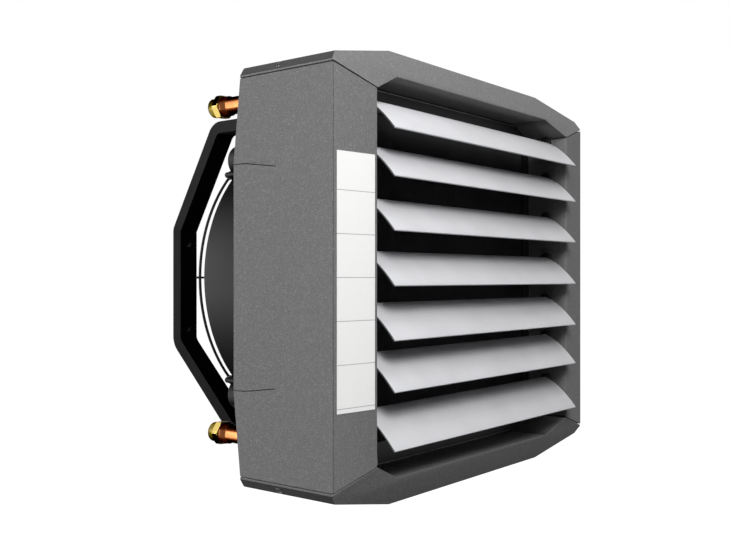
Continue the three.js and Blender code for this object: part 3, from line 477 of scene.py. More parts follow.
def roundEdges(piece, width, segments, sharperThan, test=None, clamp=True):
    # bevels the edges that turn by more degrees than sharperThan, where test(middle, run) holds
    edit(piece, "EDGE", "DESELECT")
    mesh = bmesh.from_edit_mesh(piece.data)
    found = 0
    for edge in mesh.edges:
        a, b = (v.co for v in edge.verts)
        if edge.calc_face_angle(0) > radians(sharperThan) and (not test or test((a + b) / 2, b - a)):
            edge.select_set(True)
            found += 1
    bmesh.update_edit_mesh(piece.data)
    if found:
        bpy.ops.mesh.bevel(offset=width, segments=segments, affect="EDGES", clamp_overlap=clamp)
    setMode("OBJECT")
    return piece


def sealed(piece, threshold):
    edit(piece)
    bpy.ops.mesh.remove_doubles(threshold=threshold)
    bpy.ops.mesh.normals_make_consistent(inside=False)
    setMode("OBJECT")
    return piece


def applied(piece, kind, **settings):
    makeActive(piece)
    modifier = piece.modifiers.new(kind.lower(), kind)
    for key, value in settings.items():
        setattr(modifier, key, value)
    bpy.ops.object.modifier_apply(modifier=modifier.name)
    return piece


def joined(name, pieces):
    makeActive(pieces[0])
    for piece in pieces[1:]:
        piece.select_set(True)
    bpy.ops.object.join()
    return named(name)


def carved(piece, cutters, operation="DIFFERENCE"):
    for cutter in cutters:
        applied(piece, "BOOLEAN", operation=operation, object=cutter, solver="EXACT")
        bpy.data.objects.remove(cutter)
    return piece


def shifted(piece, shift, turn=None):
    if turn:
        piece.data.transform(turn)
    piece.data.transform(Matrix.Translation(shift))
    return piece


def copied(piece, name, shift=(0, 0, 0), turn=None):
    twin = piece.copy()
    twin.data = piece.data.copy()
    twin.name = twin.data.name = name
    bpy.context.collection.objects.link(twin)
    return shifted(twin, shift, turn)


def ringOf(count, makePiece):
    # as many pieces, evenly round the Y axis
    return [shifted(makePiece(i), (0, 0, 0), Matrix.Rotation(i * 2 * pi / count, 4, "Y"))
            for i in range(count)]


def given(piece, nodeName, slotName):
    # the piece's finish, and the body of the node beside it
    piece.data.materials.clear()
    piece.data.materials.append(materials[slotName])
    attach(piece, bodyOf[nodeName])


def smoothed(piece, degrees):
    makeActive(piece)
    bpy.ops.object.shade_smooth_by_angle(angle=radians(degrees))


def finish(piece, nodeName, smoothAngle=35):
    # the piece takes the node's place, with its finish and its body
    smoothed(sealed(piece, mergeWithin["finish"]), smoothAngle)
    given(piece, nodeName, slotOf[nodeName])
    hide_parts(nodeName)


def boxOf(nodeName):
    low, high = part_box(nodeName)
    return low, high, (low + high) / 2


def nodeCopy(nodeName, pieceName):
    # a node's shape with its loose triangles merged into whole faces
    piece = bpy.data.objects.new(pieceName, frame["nodes"][nodeName].data.copy())
    piece.data.name = pieceName
    bpy.context.collection.objects.link(piece)
    makeActive(piece)
    bpy.ops.mesh.customdata_custom_splitnormals_clear()
    edit(piece)
    bpy.ops.mesh.remove_doubles(threshold=mergeWithin["node"])
    bpy.ops.mesh.dissolve_limited(angle_limit=radians(0.5))
    setMode("OBJECT")
    return piece


def lineAcross(name, length, steps):
    # a straight line of edges along X
    bpy.ops.mesh.primitive_grid_add(x_subdivisions=steps, y_subdivisions=1, size=1)
    line = named(name)
    line.scale.x = length
    pick(placeInMesh(line), "VERT", lambda v: v.co.y < 0)
    bpy.ops.mesh.delete(type="VERT")
    setMode("OBJECT")
    for v in line.data.vertices:
        v.co.y = 0
    return line


def turnedPiece(name, profile, sides, closed=True):
    # a lathe profile of (radius, y) round the Y axis
    radius, y = profile[0]
    bpy.ops.mesh.primitive_circle_add(
        vertices=sides, radius=radius, location=(0, y, 0), rotation=(pi / 2, 0, 0))
    piece = placeInMesh(named(name))
    edit(piece)
    for nextRadius, nextY in profile[1:] + ([profile[0]] if closed else []):
        bpy.ops.mesh.extrude_region_move(TRANSFORM_OT_translate={"value": (0, nextY - y, 0)})
        share = nextRadius / radius
        bpy.ops.transform.resize(value=(share, 1, share), center_override=(0, nextY, 0))
        radius, y = nextRadius, nextY
    return sealed(piece, mergeWithin["lathe"])


def barBetween(name, start, end, radius, sides):
    start, end = Vector(start), Vector(end)
    along = end - start
    bpy.ops.mesh.primitive_cylinder_add(
        vertices=sides, radius=radius, depth=along.length, location=(start + end) / 2,
        rotation=along.to_track_quat("Z", "Y").to_euler())
    return placeInMesh(named(name))


def barAlongY(name, x, z, span, radius, sides):
    return barBetween(name, (x, span[0], z), (x, span[1], z), radius, sides)


def barAlongX(name, span, radius, sides):
    return barBetween(name, (span[0], 0, 0), (span[1], 0, 0), radius, sides)


def hexAlongY(name, span, radius):
    bpy.ops.mesh.primitive_cylinder_add(
        vertices=6, radius=radius, depth=span[1] - span[0], location=(0, sum(span) / 2, 0),
        rotation=(pi / 2, 0, 0))
    return placeInMesh(named(name))


def stood(end):
    # turns what lies along Y upright, for end 1, or upside down
    return Matrix(((1, 0, 0, 0), (0, 0, -end, 0), (0, end, 0, 0), (0, 0, 0, 1)))


def turnedBox(name, place, size, axis="X", angle=0):
    bpy.ops.mesh.primitive_cube_add(size=1, location=place)
    piece = named(name)
    piece.scale = size
    piece.rotation_euler["XYZ".index(axis)] = angle
    return placeInMesh(piece)


def boxBetween(name, low, high):
    low, high = Vector(low), Vector(high)
    return turnedBox(name, (low + high) / 2, high - low)


def polar(radius, degrees):
    return radius * cos(radians(degrees)), radius * sin(radians(degrees))


def behind(depths):
    return tuple(y + frontY for y in depths)


def near(a, b, gap=0.0005):
    return abs(a - b) < gap


axisPoint = 0.0001  # a lathe profile's radius where it meets the axis
finePoint = 0.00001  # the same for the pivot bolts and for the crowns cut on hexagons


# foam casing

casing = {
    "side": 0.300,
    "seam": 0.2305,  # the seams' height at the casing's sides
    "seamDrop": 0.0195,  # from there in to the opening's corner, over the front
    "pillar": 0.067,
    "pillarInner": 0.233,
    "seamWiden": 0.0006,  # by which each shell draws back from a seam, which leaves a dark line
    "capRear": -0.463,
    "capSplit": 0.272,  # from here outwards the cap's rear is drawn back to capCornerRear
    "capCornerRear": -0.456,
    "chamferFrom": 0.285,
    "chamferRear": -0.452,
    "panelSink": 0.002,
    "panelStep": 0.00175,
    "panelGroove": 0.0011,
    "panelLine": ((-0.440, 0.1312), (-0.463, 0.1312), (-0.5122, 0.1247)),
    "edge": 0.0012,
    "seamEdge": 0.0020,
    "cornerLine": (0.0013, 0.0020),  # width and depth of the line down each front corner
    "innerEdge": 0.0024,
}


def seamHeight(x):
    share = min(1, max(0, (casing["side"] - abs(x)) / casing["pillar"]))
    return casing["seam"] - share * casing["seamDrop"]


def atSeam(c, gap=0.0003):
    return near(abs(c.z), seamHeight(c.x), gap)


def outsidePillar(c):
    return abs(c.x) > casing["pillarInner"] - 0.0005


def dressCap(nodeName, pieceName, end):
    piece = nodeCopy(nodeName, pieceName)
    rear, cornerRear, chamfer = casing["capRear"], casing["capCornerRear"], casing["chamferFrom"]
    for hand in (-1, 1):
        pick(piece, "FACE", lambda f: f.normal.y > 0.9 and near(f.center.y, rear, 0.001))
        bpy.ops.mesh.bisect(plane_co=(hand * casing["capSplit"], 0, 0), plane_no=(1, 0, 0))
        moveCorners(piece, lambda c: c.x * hand > chamfer and near(c.y, rear), (0, cornerRear - rear, 0))
    moveCorners(piece, lambda c: chamfer < abs(c.x) < 0.2955 and near(c.y, cornerRear),
                (0, casing["chamferRear"] - cornerRear, 0))
    moveCorners(piece, lambda c: atSeam(c) and outsidePillar(c), (0, 0, end * casing["seamWiden"]))
    roundEdges(piece, casing["edge"], 3, 12, lambda m, d: d.length > 0.03 and not atSeam(m, 0.001), False)
    # the slanted front edge of each seam is worn round, so that it takes the light
    roundEdges(piece, casing["seamEdge"], 2, 30, lambda m, d: atSeam(m, 0.0008) and abs(m.x) > 0.24
               and m.y < frontY + 0.001 and abs(d.x) > 0.02, False)
    finish(piece, nodeName, 40)


def dressSide(nodeName, pieceName, hand):
    piece = nodeCopy(nodeName, pieceName)
    side = casing["side"]
    moveCorners(piece, lambda c: near(abs(c.x), side - casing["panelSink"], 0.0002) and abs(c.z) < 0.132,
                (hand * casing["panelStep"], 0, 0))
    cutters = []
    for end in (-1, 1):
        moveCorners(piece, lambda c: c.z * end > 0 and atSeam(c) and outsidePillar(c),
                    (0, 0, -end * casing["seamWiden"]))
        for (y0, z0), (y1, z1) in zip(casing["panelLine"], casing["panelLine"][1:]):
            run = Vector((y1 - y0, end * (z1 - z0)))
            cutters.append(turnedBox(
                "panelGroove", (hand * 0.3045, (y0 + y1) / 2, end * (z0 + z1) / 2),
                (0.016, run.length + 0.0006, casing["panelGroove"]), "X", run.angle_signed(Vector((-1, 0)))))
    width, depth = casing["cornerLine"]
    cutters.append(turnedBox(
        "cornerLine", (hand * side, frontY, 0), (width, 2 * depth, 0.5), "Z", hand * pi / 4))
    carved(piece, cutters)
    roundEdges(piece, casing["innerEdge"], 3, 12,
               lambda m, d: near(abs(m.x), casing["pillarInner"]) and m.y < -0.6 and abs(d.z) > 0.3, False)
    finish(piece, nodeName, 40)


shellScrew = {
    "head": 0.0021,
    "headRoom": 0.0034,  # by which the head lies under the solid's own
    "socket": 0.0014,
    "chamfer": ((0.300, 0.2334), (0.290, 0.2442)),  # as (x, z)
    "tubes": {  # finish, outer and inner radius, reach under and over the chamfer
        # a black sleeve put in the hole as painted shade
        "shadeSleeve": ("black_plastic", 0.0035, 0.0028, 0.006, 0.0001),
        "screwRing": ("zinc_steel", 0.0030, 0.0028, 0.0001, 0.0002),
    },
}


def dressShellScrews():
    # a socket screw sunk in a black sleeve that comes up to the chamfer; the sleeve puts painted shade in the
    # screw hole
    (x0, z0), (x1, z1) = shellScrew["chamfer"]
    for end, endName in ends:
        for hand, handName in hands:
            nodeName = f"shell_screw_{endName}_{handName}"
            tail = endName.capitalize() + handName.capitalize()
            low, high, middle = boxOf(nodeName)
            root, seat = sorted((abs(low.z), abs(high.z)))
            seat -= shellScrew["headRoom"]
            screw = barBetween("sunkScrew" + tail, (0, 0, root), (0, 0, seat), shellScrew["head"], 32)
            roundEdges(screw, 0.0004, 2, 60, lambda m, d: m.z > seat - 0.0003)
            carved(screw, [barBetween("screwSocket", (0, 0, seat - 0.002), (0, 0, seat + 0.002),
                                      shellScrew["socket"], 6)])
            shifted(screw, (middle.x, middle.y, 0), Matrix.Rotation(pi, 4, "X") if end < 0 else None)
            finish(screw, nodeName)

            outward = Vector((hand * (z1 - z0), 0, end * (x0 - x1))).normalized()
            onFace = Vector((hand * x0, middle.y, end * z0))
            for name, (slotName, outer, inner, below, above) in shellScrew["tubes"].items():
                tube, *cutters = (
                    barBetween(label, (*middle.xy, end * a), (*middle.xy, end * b), radius, 32)
                    for label, a, b, radius in ((name + tail, seat - 0.002, 0.25, outer),
                                                ("sleeveHole", 0.2, 0.26, inner)))
                for depth, way in ((above, outward), (-below, -outward)):
                    cutters.append(shifted(boxBetween("sleeveCut", (0, -0.02, -0.02), (0.03, 0.02, 0.02)),
                                           onFace + outward * depth,
                                           way.to_track_quat("X", "Z").to_matrix().to_4x4()))
                smoothed(carved(tube, cutters), 35)
                given(tube, nodeName, slotName)


dressCap("top_shell", "topShell", 1)
dressCap("bottom_shell", "bottomShell", -1)
dressSide("side_shell_left", "leftShell", -1)
dressSide("side_shell_right", "rightShell", 1)
dressShellScrews()
print("foam casing done")


# louvres

louvre = {
    "halfLength": 0.2267,
    "tip": (-0.051, -0.0385),  # from the pivot, as (y, z)
    "knee": (-0.02364, -0.0059),
    "sheet": 0.0020,
    "steps": 14,
    "edge": 0.0005,
    "rootLifts": (0.0010, 0.0010, 0.0010, 0.0012, 0.0020, 0.0024, 0.0030),  # top to bottom
}
pin = {
    "disc": 0.008,
    "discHalf": 0.00285,  # half its thickness
    "dome": 0.0012,
    "shank": 0.004,
    "shankSpan": (0.002, 0.0118),
    "slotHalf": 0.0008,  # half its width
    "slotDepth": 0.0008,
}


def louvreCurve(share):
    tip, knee = Vector(louvre["tip"]), Vector(louvre["knee"])
    return tip * (1 - share) ** 2 + knee * 2 * share * (1 - share)


def firstLouvre():
    # one edge, pulled back along the curve, then thickened downwards
    blade = lineAcross("louvreBlade", 2 * louvre["halfLength"], 1)
    edit(blade)
    last = louvreCurve(0)
    bpy.ops.transform.translate(value=(0, last.x, last.y))
    for step in range(1, louvre["steps"] + 1):
        now = louvreCurve(step / louvre["steps"])
        bpy.ops.mesh.extrude_region_move(TRANSFORM_OT_translate={"value": (0, *(now - last))})
        last = now
    bpy.ops.mesh.select_all(action="SELECT")
    bpy.ops.mesh.normals_make_consistent(inside=False)
    setMode("OBJECT")
    if blade.data.polygons[0].normal.z < 0:
        blade.data.flip_normals()
    applied(blade, "SOLIDIFY", thickness=louvre["sheet"], offset=-1, use_even_offset=True)
    applied(blade, "BEVEL", width=louvre["edge"], segments=2, limit_method="ANGLE", angle_limit=radians(50))
    return blade


def firstPin():
    # a round boss with a slotted dome towards the blade and a shank in the pillar; it points along +X
    half, slot = pin["discHalf"], pin["slotHalf"]
    boss = roundEdges(barAlongX("pinBoss", (-half, half), pin["disc"], 40), pin["dome"], 3, 40)
    shank = barAlongX("pinShank", pin["shankSpan"], pin["shank"], 32)
    groove = boxBetween("pinSlot", (-0.004, -0.005, -slot), (pin["slotDepth"] - half, 0.005, slot))
    return carved(joined("louvrePin", [boss, shank]), [groove])


def dressLouvres():
    blade, rightPin = firstLouvre(), firstPin()
    bladeFront, bladeLow = (min(v.co[i] for v in blade.data.vertices) for i in (1, 2))
    for number, rootLift in enumerate(louvre["rootLifts"], 1):
        nodeName = f"louvre_{number}"
        low = boxOf(nodeName)[0]
        lean = Matrix.Identity(4)  # the blades are set by hand, each at its own slight angle
        lean[2][1] = rootLift / -louvre["tip"][0]
        finish(copied(blade, f"louvreBlade{number}", (
            0, low.y - bladeFront, low.z - bladeLow - lean[2][1] * bladeFront), lean), nodeName)
        for hand, handName in hands:
            pinNode = f"{nodeName}_pin_{handName}"
            low, high, middle = boxOf(pinNode)
            middle.x = (low.x if hand > 0 else high.x) + hand * pin["discHalf"]
            turn = None if hand > 0 else Matrix.Rotation(pi, 4, "Z")
            finish(copied(rightPin, f"louvrePin{number}{handName.capitalize()}", middle, turn), pinNode)
    bpy.data.objects.remove(blade)
    bpy.data.objects.remove(rightPin)


dressLouvres()
print("louvres done")


# bracket

bracket = {
    "width": 0.036,
    "thickness": 0.019,
    "corners": [(-0.525, 0.254), (-0.099, 0.254), (0.0, 0.083),
                (0.0, -0.113), (-0.140, -0.254), (-0.525, -0.254)],  # as (y, z)
    "radii": [0.030, 0.022, 0.034, 0.030],  # of the outer face at each bend
    "stepsPerBend": 14,
    "edge": 0.0022,
    "pivotHole": 0.0053,
    "pivotY": -0.507,
    "wallHole": 0.005,
    "wallHoleHeights": (0.057, -0.087),
}


def dressBracket():
    # a flat section is pulled along the arm and spun round each bend, as the bar was bent
    points = [Vector(p) for p in bracket["corners"]]
    width, thickness = bracket["width"], bracket["thickness"]
    start = points[0]
    endY, endZ = start
    bpy.ops.mesh.primitive_plane_add(
        size=1, location=(0, endY, endZ - thickness / 2), rotation=(pi / 2, 0, 0))
    bar = named("bentBracket")
    bar.scale = (width, thickness, 1)
    edit(placeInMesh(bar), "FACE")
    for i, radius in enumerate(bracket["radii"]):
        before, corner, after = points[i:i + 3]
        ahead, onward = (corner - before).normalized(), (after - corner).normalized()
        sweep = ahead.angle(onward)
        bendStart = corner - ahead * radius * tan(sweep / 2)
        centre = bendStart + Vector((ahead.y, -ahead.x)) * radius
        bpy.ops.mesh.extrude_region_move(TRANSFORM_OT_translate={"value": (0, *(bendStart - start))})
        bpy.ops.mesh.spin(steps=bracket["stepsPerBend"], angle=sweep, center=(0, *centre), axis=(1, 0, 0))
        start = corner + onward * radius * tan(sweep / 2)
    bpy.ops.mesh.extrude_region_move(TRANSFORM_OT_translate={"value": (0, *(points[-1] - start))})
    bpy.ops.mesh.select_all(action="SELECT")
    bpy.ops.mesh.normals_make_consistent(inside=False)
    setMode("OBJECT")
    roundEdges(bar, width / 2 - 0.0002, 10, 60, lambda m, d: near(m.y, endY) and abs(d.z) > 0.01)
    holes = [barBetween("pivotHole", (0, bracket["pivotY"], -0.3), (0, bracket["pivotY"], 0.3),
                        bracket["pivotHole"], 40)]
    holes += [barAlongY("wallHole", 0, z, (-0.05, 0.05), bracket["wallHole"], 32)
              for z in bracket["wallHoleHeights"]]
    carved(bar, holes)
    roundEdges(bar, bracket["edge"], 4, 50,
               lambda m, d: near(abs(m.x), width / 2, 0.0001) and d.length > 0.0006)
    finish(bar, "bracket")


dressBracket()
print("bracket done")


# pipes and unions

pipework = {
    "x": -0.250,
    "outer": 0.0108,
    "wall": 0.0013,
    "sides": 72,
    "sleeve": 0.0124,  # radius of the pipe's widened end, which the nut holds
    "sleeveDepth": 0.2090,
    "noseDepth": 0.2395,
    "hexDepths": (0.219, 0.2285),
    "hexFlats": 0.027,
    "turns": {"return_union": 28, "supply_union": 34},
    "nose": 0.0123,
    "bore": 0.009,
    "thread": 0.0015,
    "threadDeep": 0.0130,
    "crown": (0.0016, 0.0012, 0.0022),  # taken off the hexagon's corner, over it, and the length of the slope
}


def dressPipes():
    nutStart, start = behind((pipework["hexDepths"][0] + 0.002, pipework["sleeveDepth"]))
    outer, wide = pipework["outer"], pipework["sleeve"]
    inner = outer - pipework["wall"]
    for nodeName, pieceName in (("return_pipe", "returnPipe"), ("supply_pipe", "supplyPipe")):
        low, high, middle = boxOf(nodeName)
        pipe = turnedPiece(pieceName, [
            (outer, low.y), (outer, start - 0.0016), (outer + 0.0004, start - 0.0006), (wide - 0.0008, start),
            (wide, start + 0.0010), (wide + 0.0004, nutStart), (outer, nutStart), (outer, high.y),
            (inner, high.y), (inner, low.y)], pipework["sides"])
        finish(shifted(pipe, (pipework["x"], 0, middle.z)), nodeName, 40)


def unionBody(start, end):
    # the fitting's tail and nose, with a fine thread in the nose's bore
    nose, bore, fit = pipework["nose"], pipework["bore"], pipework["outer"] + 0.0003
    threads = []
    y = end - 0.0010
    while y > end - pipework["threadDeep"]:
        threads += [(bore, y), (bore + 0.0009, y - pipework["thread"] / 2)]
        y -= pipework["thread"]
    return turnedPiece("unionBody", [
        (fit, start), (nose, start), (nose, end - 0.0028), (nose - 0.0003, end - 0.0014),
        (nose - 0.0010, end - 0.0005), (nose - 0.0018, end), (bore + 0.0006, end),
    ] + threads + [(bore, end - 0.0163), (fit, end - 0.0163)], pipework["sides"])


def dressUnions():
    end, hex0, hex1 = behind((pipework["noseDepth"], *pipework["hexDepths"]))
    body = unionBody(hex0 + 0.0025, end)
    corner = pipework["hexFlats"] / 2 / cos(pi / 6)
    less, more, slope = pipework["crown"]
    for nodeName, degrees in pipework["turns"].items():
        nut = hexAlongY("unionHexagon", (hex0, hex1), corner)
        crown = turnedPiece("unionCrown", [  # a turned crown takes the hexagon's corners off
            (finePoint, hex0 - 0.0001), (corner - less, hex0 - 0.0001), (corner + more, hex0 + slope),
            (corner + more, hex1 - slope), (corner - less, hex1 + 0.0001), (finePoint, hex1 + 0.0001)], 64)
        carved(nut, [crown], "INTERSECT")
        carved(nut, [barAlongY("unionHole", 0, 0, (hex0 - 0.01, hex1 + 0.01), pipework["nose"] - 0.0008, 64)])
        roundEdges(nut, 0.0004, 2, 25, lambda m, d: d.length > 0.002)
        nut.data.transform(Matrix.Rotation(radians(degrees), 4, "Y"))
        whole = joined(nodeName.split("_")[0] + "Union", [nut, copied(body, "unionBodyCopy")])
        finish(shifted(whole, (pipework["x"], 0, boxOf(nodeName)[2].z)), nodeName, 30)
    bpy.data.objects.remove(body)


dressPipes()
dressUnions()
print("pipes and unions done")


# heat exchanger

coil = {
    "fin": 0.0005,  # thicker than real foil, so that it shows
    "pitch": 0.0030,
    "rimHeight": 0.2284,  # from the middle up to the frame's raised rim
    "rimHalfLength": 0.230,
    "rim": 0.0009,
    "rimProud": 0.0004,
    "sunk": 0.0022,  # of the frame's border outside the rim
}


def dressFins():
    low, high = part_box("fin_block")
    fins = boxBetween("coilFins", low, (low.x + coil["fin"], high.y, high.z))
    count = int((high.x - low.x) / coil["pitch"])
    pitch = (high.x - low.x - coil["fin"]) / (count - 1)
    applied(fins, "ARRAY", count=count, use_relative_offset=False, use_constant_offset=True,
            constant_offset_displace=(pitch, 0, 0))
    finish(fins, "fin_block", 30)


def dressCoilFrame():
    # the sheet frame's border lies deeper outside a narrow bright rim, at the top and at the bottom
    piece = nodeCopy("coil_frame", "coilFrame")
    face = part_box("coil_frame")[0].y
    inside, outside, length = coil["rimHeight"], coil["rimHeight"] + coil["rim"], coil["rimHalfLength"]
    cutters = []
    for end, endName in reversed(ends):
        a, b = sorted((end * outside, end * 0.3))
        cutters.append(boxBetween("frameBorder", (-0.3, face - 0.01, a), (0.3, face + coil["sunk"], b)))
        a, b = sorted((end * inside, end * outside))
        rim = boxBetween("frameRim" + endName.capitalize(),
                         (-length, face - coil["rimProud"], a), (length, face, b))
        given(roundEdges(rim, 0.0002, 1, 60), "coil_frame", "zinc_steel")
    finish(carved(piece, cutters), "coil_frame", 30)


dressFins()
dressCoilFrame()
print("heat exchanger done")


# fan duct and guard

duct = {
    "outer": 0.207,
    "bore": 0.2015,
    "mouth": 0.198,
    "flange": 0.213,
    "depths": (0.1293, 0.306, 0.3085),  # front, columns' end, rim's end
    "sides": 160,
    "earAngles": (47.2, 132.8, 227.2, 312.8),
    "earOffset": 0.219,
    "earRadius": 0.022,
    "earDepths": (0.270, 0.300),
    "screwAngles": (41.5, 138.5, 221.5, 318.5),
    "screwOffset": 0.2145,
    "columnRadius": 0.0046,
    "holeRadius": 0.0028,
}


def screwPlaces():
    return [polar(duct["screwOffset"], angle) for angle in duct["screwAngles"]]


def dressDuct():
    front, end, rim = behind(duct["depths"])
    outer, bore, mouth, flange = (duct[key] for key in ("outer", "bore", "mouth", "flange"))
    body = turnedPiece("fanDuct", [
        (flange, front), (flange, front + 0.005), (outer + 0.0006, front + 0.0062),
        (outer, front + 0.0072), (outer, rim - 0.003), (outer - 0.0004, rim - 0.0012),
        (outer - 0.0015, rim), (bore + 0.0012, rim), (bore, rim - 0.0012),
        (bore, front + 0.024), (bore - 0.0008, front + 0.017), (bore - 0.0024, front + 0.010),
        (mouth, front + 0.006), (mouth, front)], duct["sides"])
    extras = []
    for angle in duct["earAngles"]:
        ear = barAlongY("ductEar", *polar(duct["earOffset"], angle), behind(duct["earDepths"]),
                        duct["earRadius"], 56)
        extras.append(roundEdges(ear, 0.0012, 2, 60))
    extras += [barAlongY("ductColumn", x, z, (front, end), duct["columnRadius"], 32)
               for x, z in screwPlaces()]
    carved(body, extras, "UNION")
    cutters = [barAlongY("ductBore", 0, 0, (front + 0.024, end + 0.01), bore, duct["sides"])]
    cutters += [barAlongY("ductHole", x, z, (front - 0.01, end + 0.01), duct["holeRadius"], 24)
                for x, z in screwPlaces()]
    finish(carved(body, cutters), "fan_shroud", 30)


guard = {
    "depth": 0.3145,
    "ringWire": 0.0019,
    "rings": (0.2076, 0.155, 0.105),
    "spokeWire": 0.0015,
    "spokes": 8,
    "spokeSpan": (0.048, 0.211),
    "plateRadius": 0.052,
    "plateDepths": (0.3125, 0.3190),
    "eyelet": 0.0043,
    "eyeletDepths": (0.3063, 0.3093),
}


def dressGuard():
    plane = guard["depth"] + frontY
    ringWire, spokeWire = guard["ringWire"], guard["spokeWire"]
    wires = []
    for radius in guard["rings"]:
        bpy.ops.mesh.primitive_torus_add(
            location=(0, plane, 0), rotation=(pi / 2, 0, 0), major_segments=120, minor_segments=10,
            major_radius=radius, minor_radius=ringWire)
        wires.append(placeInMesh(named("guardRing")))
    behindRings = plane + ringWire + spokeWire * 0.6
    for i in range(guard["spokes"]):
        (x0, z0), (x1, z1) = (polar(r, i * 360 / guard["spokes"]) for r in guard["spokeSpan"])
        wires.append(barBetween("guardSpoke", (x0, behindRings, z0), (x1, behindRings, z1), spokeWire, 12))
    plate = barAlongY("guardPlate", 0, 0, behind(guard["plateDepths"]), guard["plateRadius"], 72)
    wires.append(roundEdges(plate, 0.0012, 2, 60))
    a, b = behind(guard["eyeletDepths"])
    for (x, z), angle in zip(screwPlaces(), duct["screwAngles"]):
        hole = barAlongY("eyeletHole", x, z, (a - 0.01, b + 0.01), duct["holeRadius"], 24)
        wires.append(carved(barAlongY("guardEyelet", x, z, (a, b), guard["eyelet"], 32), [hole]))
        wires.append(barAlongY("guardLeg", *polar(guard["rings"][0], angle), (a + 0.0005, plane),
                               ringWire * 0.9, 12))
    finish(joined("wireGuard", wires), "fan_guard", 40)


guardScrew = {"head": 0.0044, "height": 0.004, "shank": 0.0025, "socket": 0.0025, "socketDepth": 0.0018}


def dressGuardScrews():
    low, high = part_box("guard_screw_1")
    top, head = high.y, guardScrew["head"]
    seat, floor = top - guardScrew["height"], top - guardScrew["socketDepth"]
    cap = turnedPiece("guardScrewHead", [
        (axisPoint, seat), (head, seat), (head, seat + 0.0008), (head * 0.93, seat + 0.0022),
        (head * 0.72, seat + 0.0034), (head * 0.5, top), (axisPoint, top)], 32, False)
    carved(cap, [hexAlongY("screwSocket", (floor, floor + 0.01), guardScrew["socket"])])
    shank = barAlongY("guardScrewShank", 0, 0, (low.y, seat + 0.0005), guardScrew["shank"], 20)
    first = joined("guardScrew", [cap, shank])
    for number in range(1, 5):
        nodeName = f"guard_screw_{number}"
        middle = boxOf(nodeName)[2]
        finish(copied(first, f"guardScrew{number}", (middle.x, 0, middle.z)), nodeName)
    bpy.data.objects.remove(first)


dressDuct()
dressGuard()
dressGuardScrews()
print("fan duct and guard done")


# fan wheel and motor

fan = {
    "hub": 0.058,
    "hubDepths": (0.2052, 0.2632),
    "tip": 0.1945,
    "root": 0.0535,
    "blades": 5,
    "rings": 10,
    "chordSteps": 12,
    "chords": (0.088, 0.114),
    "pitches": (41, 22),
    "camber": 0.10,  # of the chord
    "sheet": 0.0026,
    "motor": 0.046,
    "motorDepths": (0.2662, 0.3122),
    "shaft": 0.0078,
    "ribs": 8,
}


def firstBlade():
    # a cambered line across the hub, pulled out to the tip while it turns and grows
    middle = sum(fan["hubDepths"]) / 2 + frontY
    chord, tipChord = fan["chords"]
    pitch, tipPitch = fan["pitches"]
    blade = lineAcross("fanBlade", chord, fan["chordSteps"])
    for v in blade.data.vertices:
        v.co.z = fan["camber"] * chord * (1 - (2 * v.co.x / chord) ** 2)
    # the blade's length runs along X from here on, its chord along Z and Y
    lying = Matrix(((0, 1, 0, 0), (0, 0, 1, 0), (1, 0, 0, 0), (0, 0, 0, 1)))
    pitched = Matrix.Rotation(radians(pitch), 4, "X")
    blade.data.transform(Matrix.Translation((fan["root"], middle, 0)) @ pitched @ lying)
    edit(blade)
    rings = fan["rings"]
    step = (fan["tip"] - fan["root"]) / rings
    turn = radians(pitch - tipPitch) / rings
    grow = (tipChord / chord) ** (1 / rings)
    for i in range(1, rings + 1):
        here = (fan["root"] + i * step, middle, 0)
        bpy.ops.mesh.extrude_region_move(TRANSFORM_OT_translate={"value": (step, 0, 0)})
        bpy.ops.transform.rotate(value=turn, orient_axis="X", center_override=here)
        bpy.ops.transform.resize(value=(1, grow, grow), center_override=here)
    setMode("OBJECT")
    return applied(blade, "SOLIDIFY", thickness=fan["sheet"], offset=0)


def dressFan():
    a, b = behind(fan["hubDepths"])
    hub, tip, bore = fan["hub"], fan["tip"], fan["shaft"] + 0.0003
    wheel = turnedPiece("fanHub", [
        (axisPoint, a), (hub - 0.014, a), (hub - 0.008, a + 0.0014), (hub - 0.003, a + 0.0045),
        (hub - 0.0008, a + 0.0095), (hub, a + 0.016), (hub, b), (hub - 0.0035, b), (hub - 0.0035, a + 0.020),
        (0.020, a + 0.012), (0.018, a + 0.014), (0.018, b - 0.004), (bore, b - 0.004), (bore, a + 0.018),
        (axisPoint, a + 0.018)], 96, False)
    ribs = ringOf(fan["ribs"], lambda i: boxBetween(
        "hubRib", (0.017, a + 0.014, -0.0012), (hub - 0.003, b - 0.008, 0.0012)))
    blade = firstBlade()
    tube = turnedPiece("bladeTrim", [
        (hub - 0.001, a - 0.05), (tip, a - 0.05), (tip, b + 0.05), (hub - 0.001, b + 0.05)], 128)
    slab = boxBetween("bladeDepths", (-0.3, a, -0.3), (0.3, b, 0.3))
    carved(blade, [tube, slab], "INTERSECT")
    blades = ringOf(fan["blades"], lambda i: copied(blade, f"fanBlade{i + 1}"))
    bpy.data.objects.remove(blade)
    finish(joined("fanWheel", [wheel] + ribs + blades), "impeller")


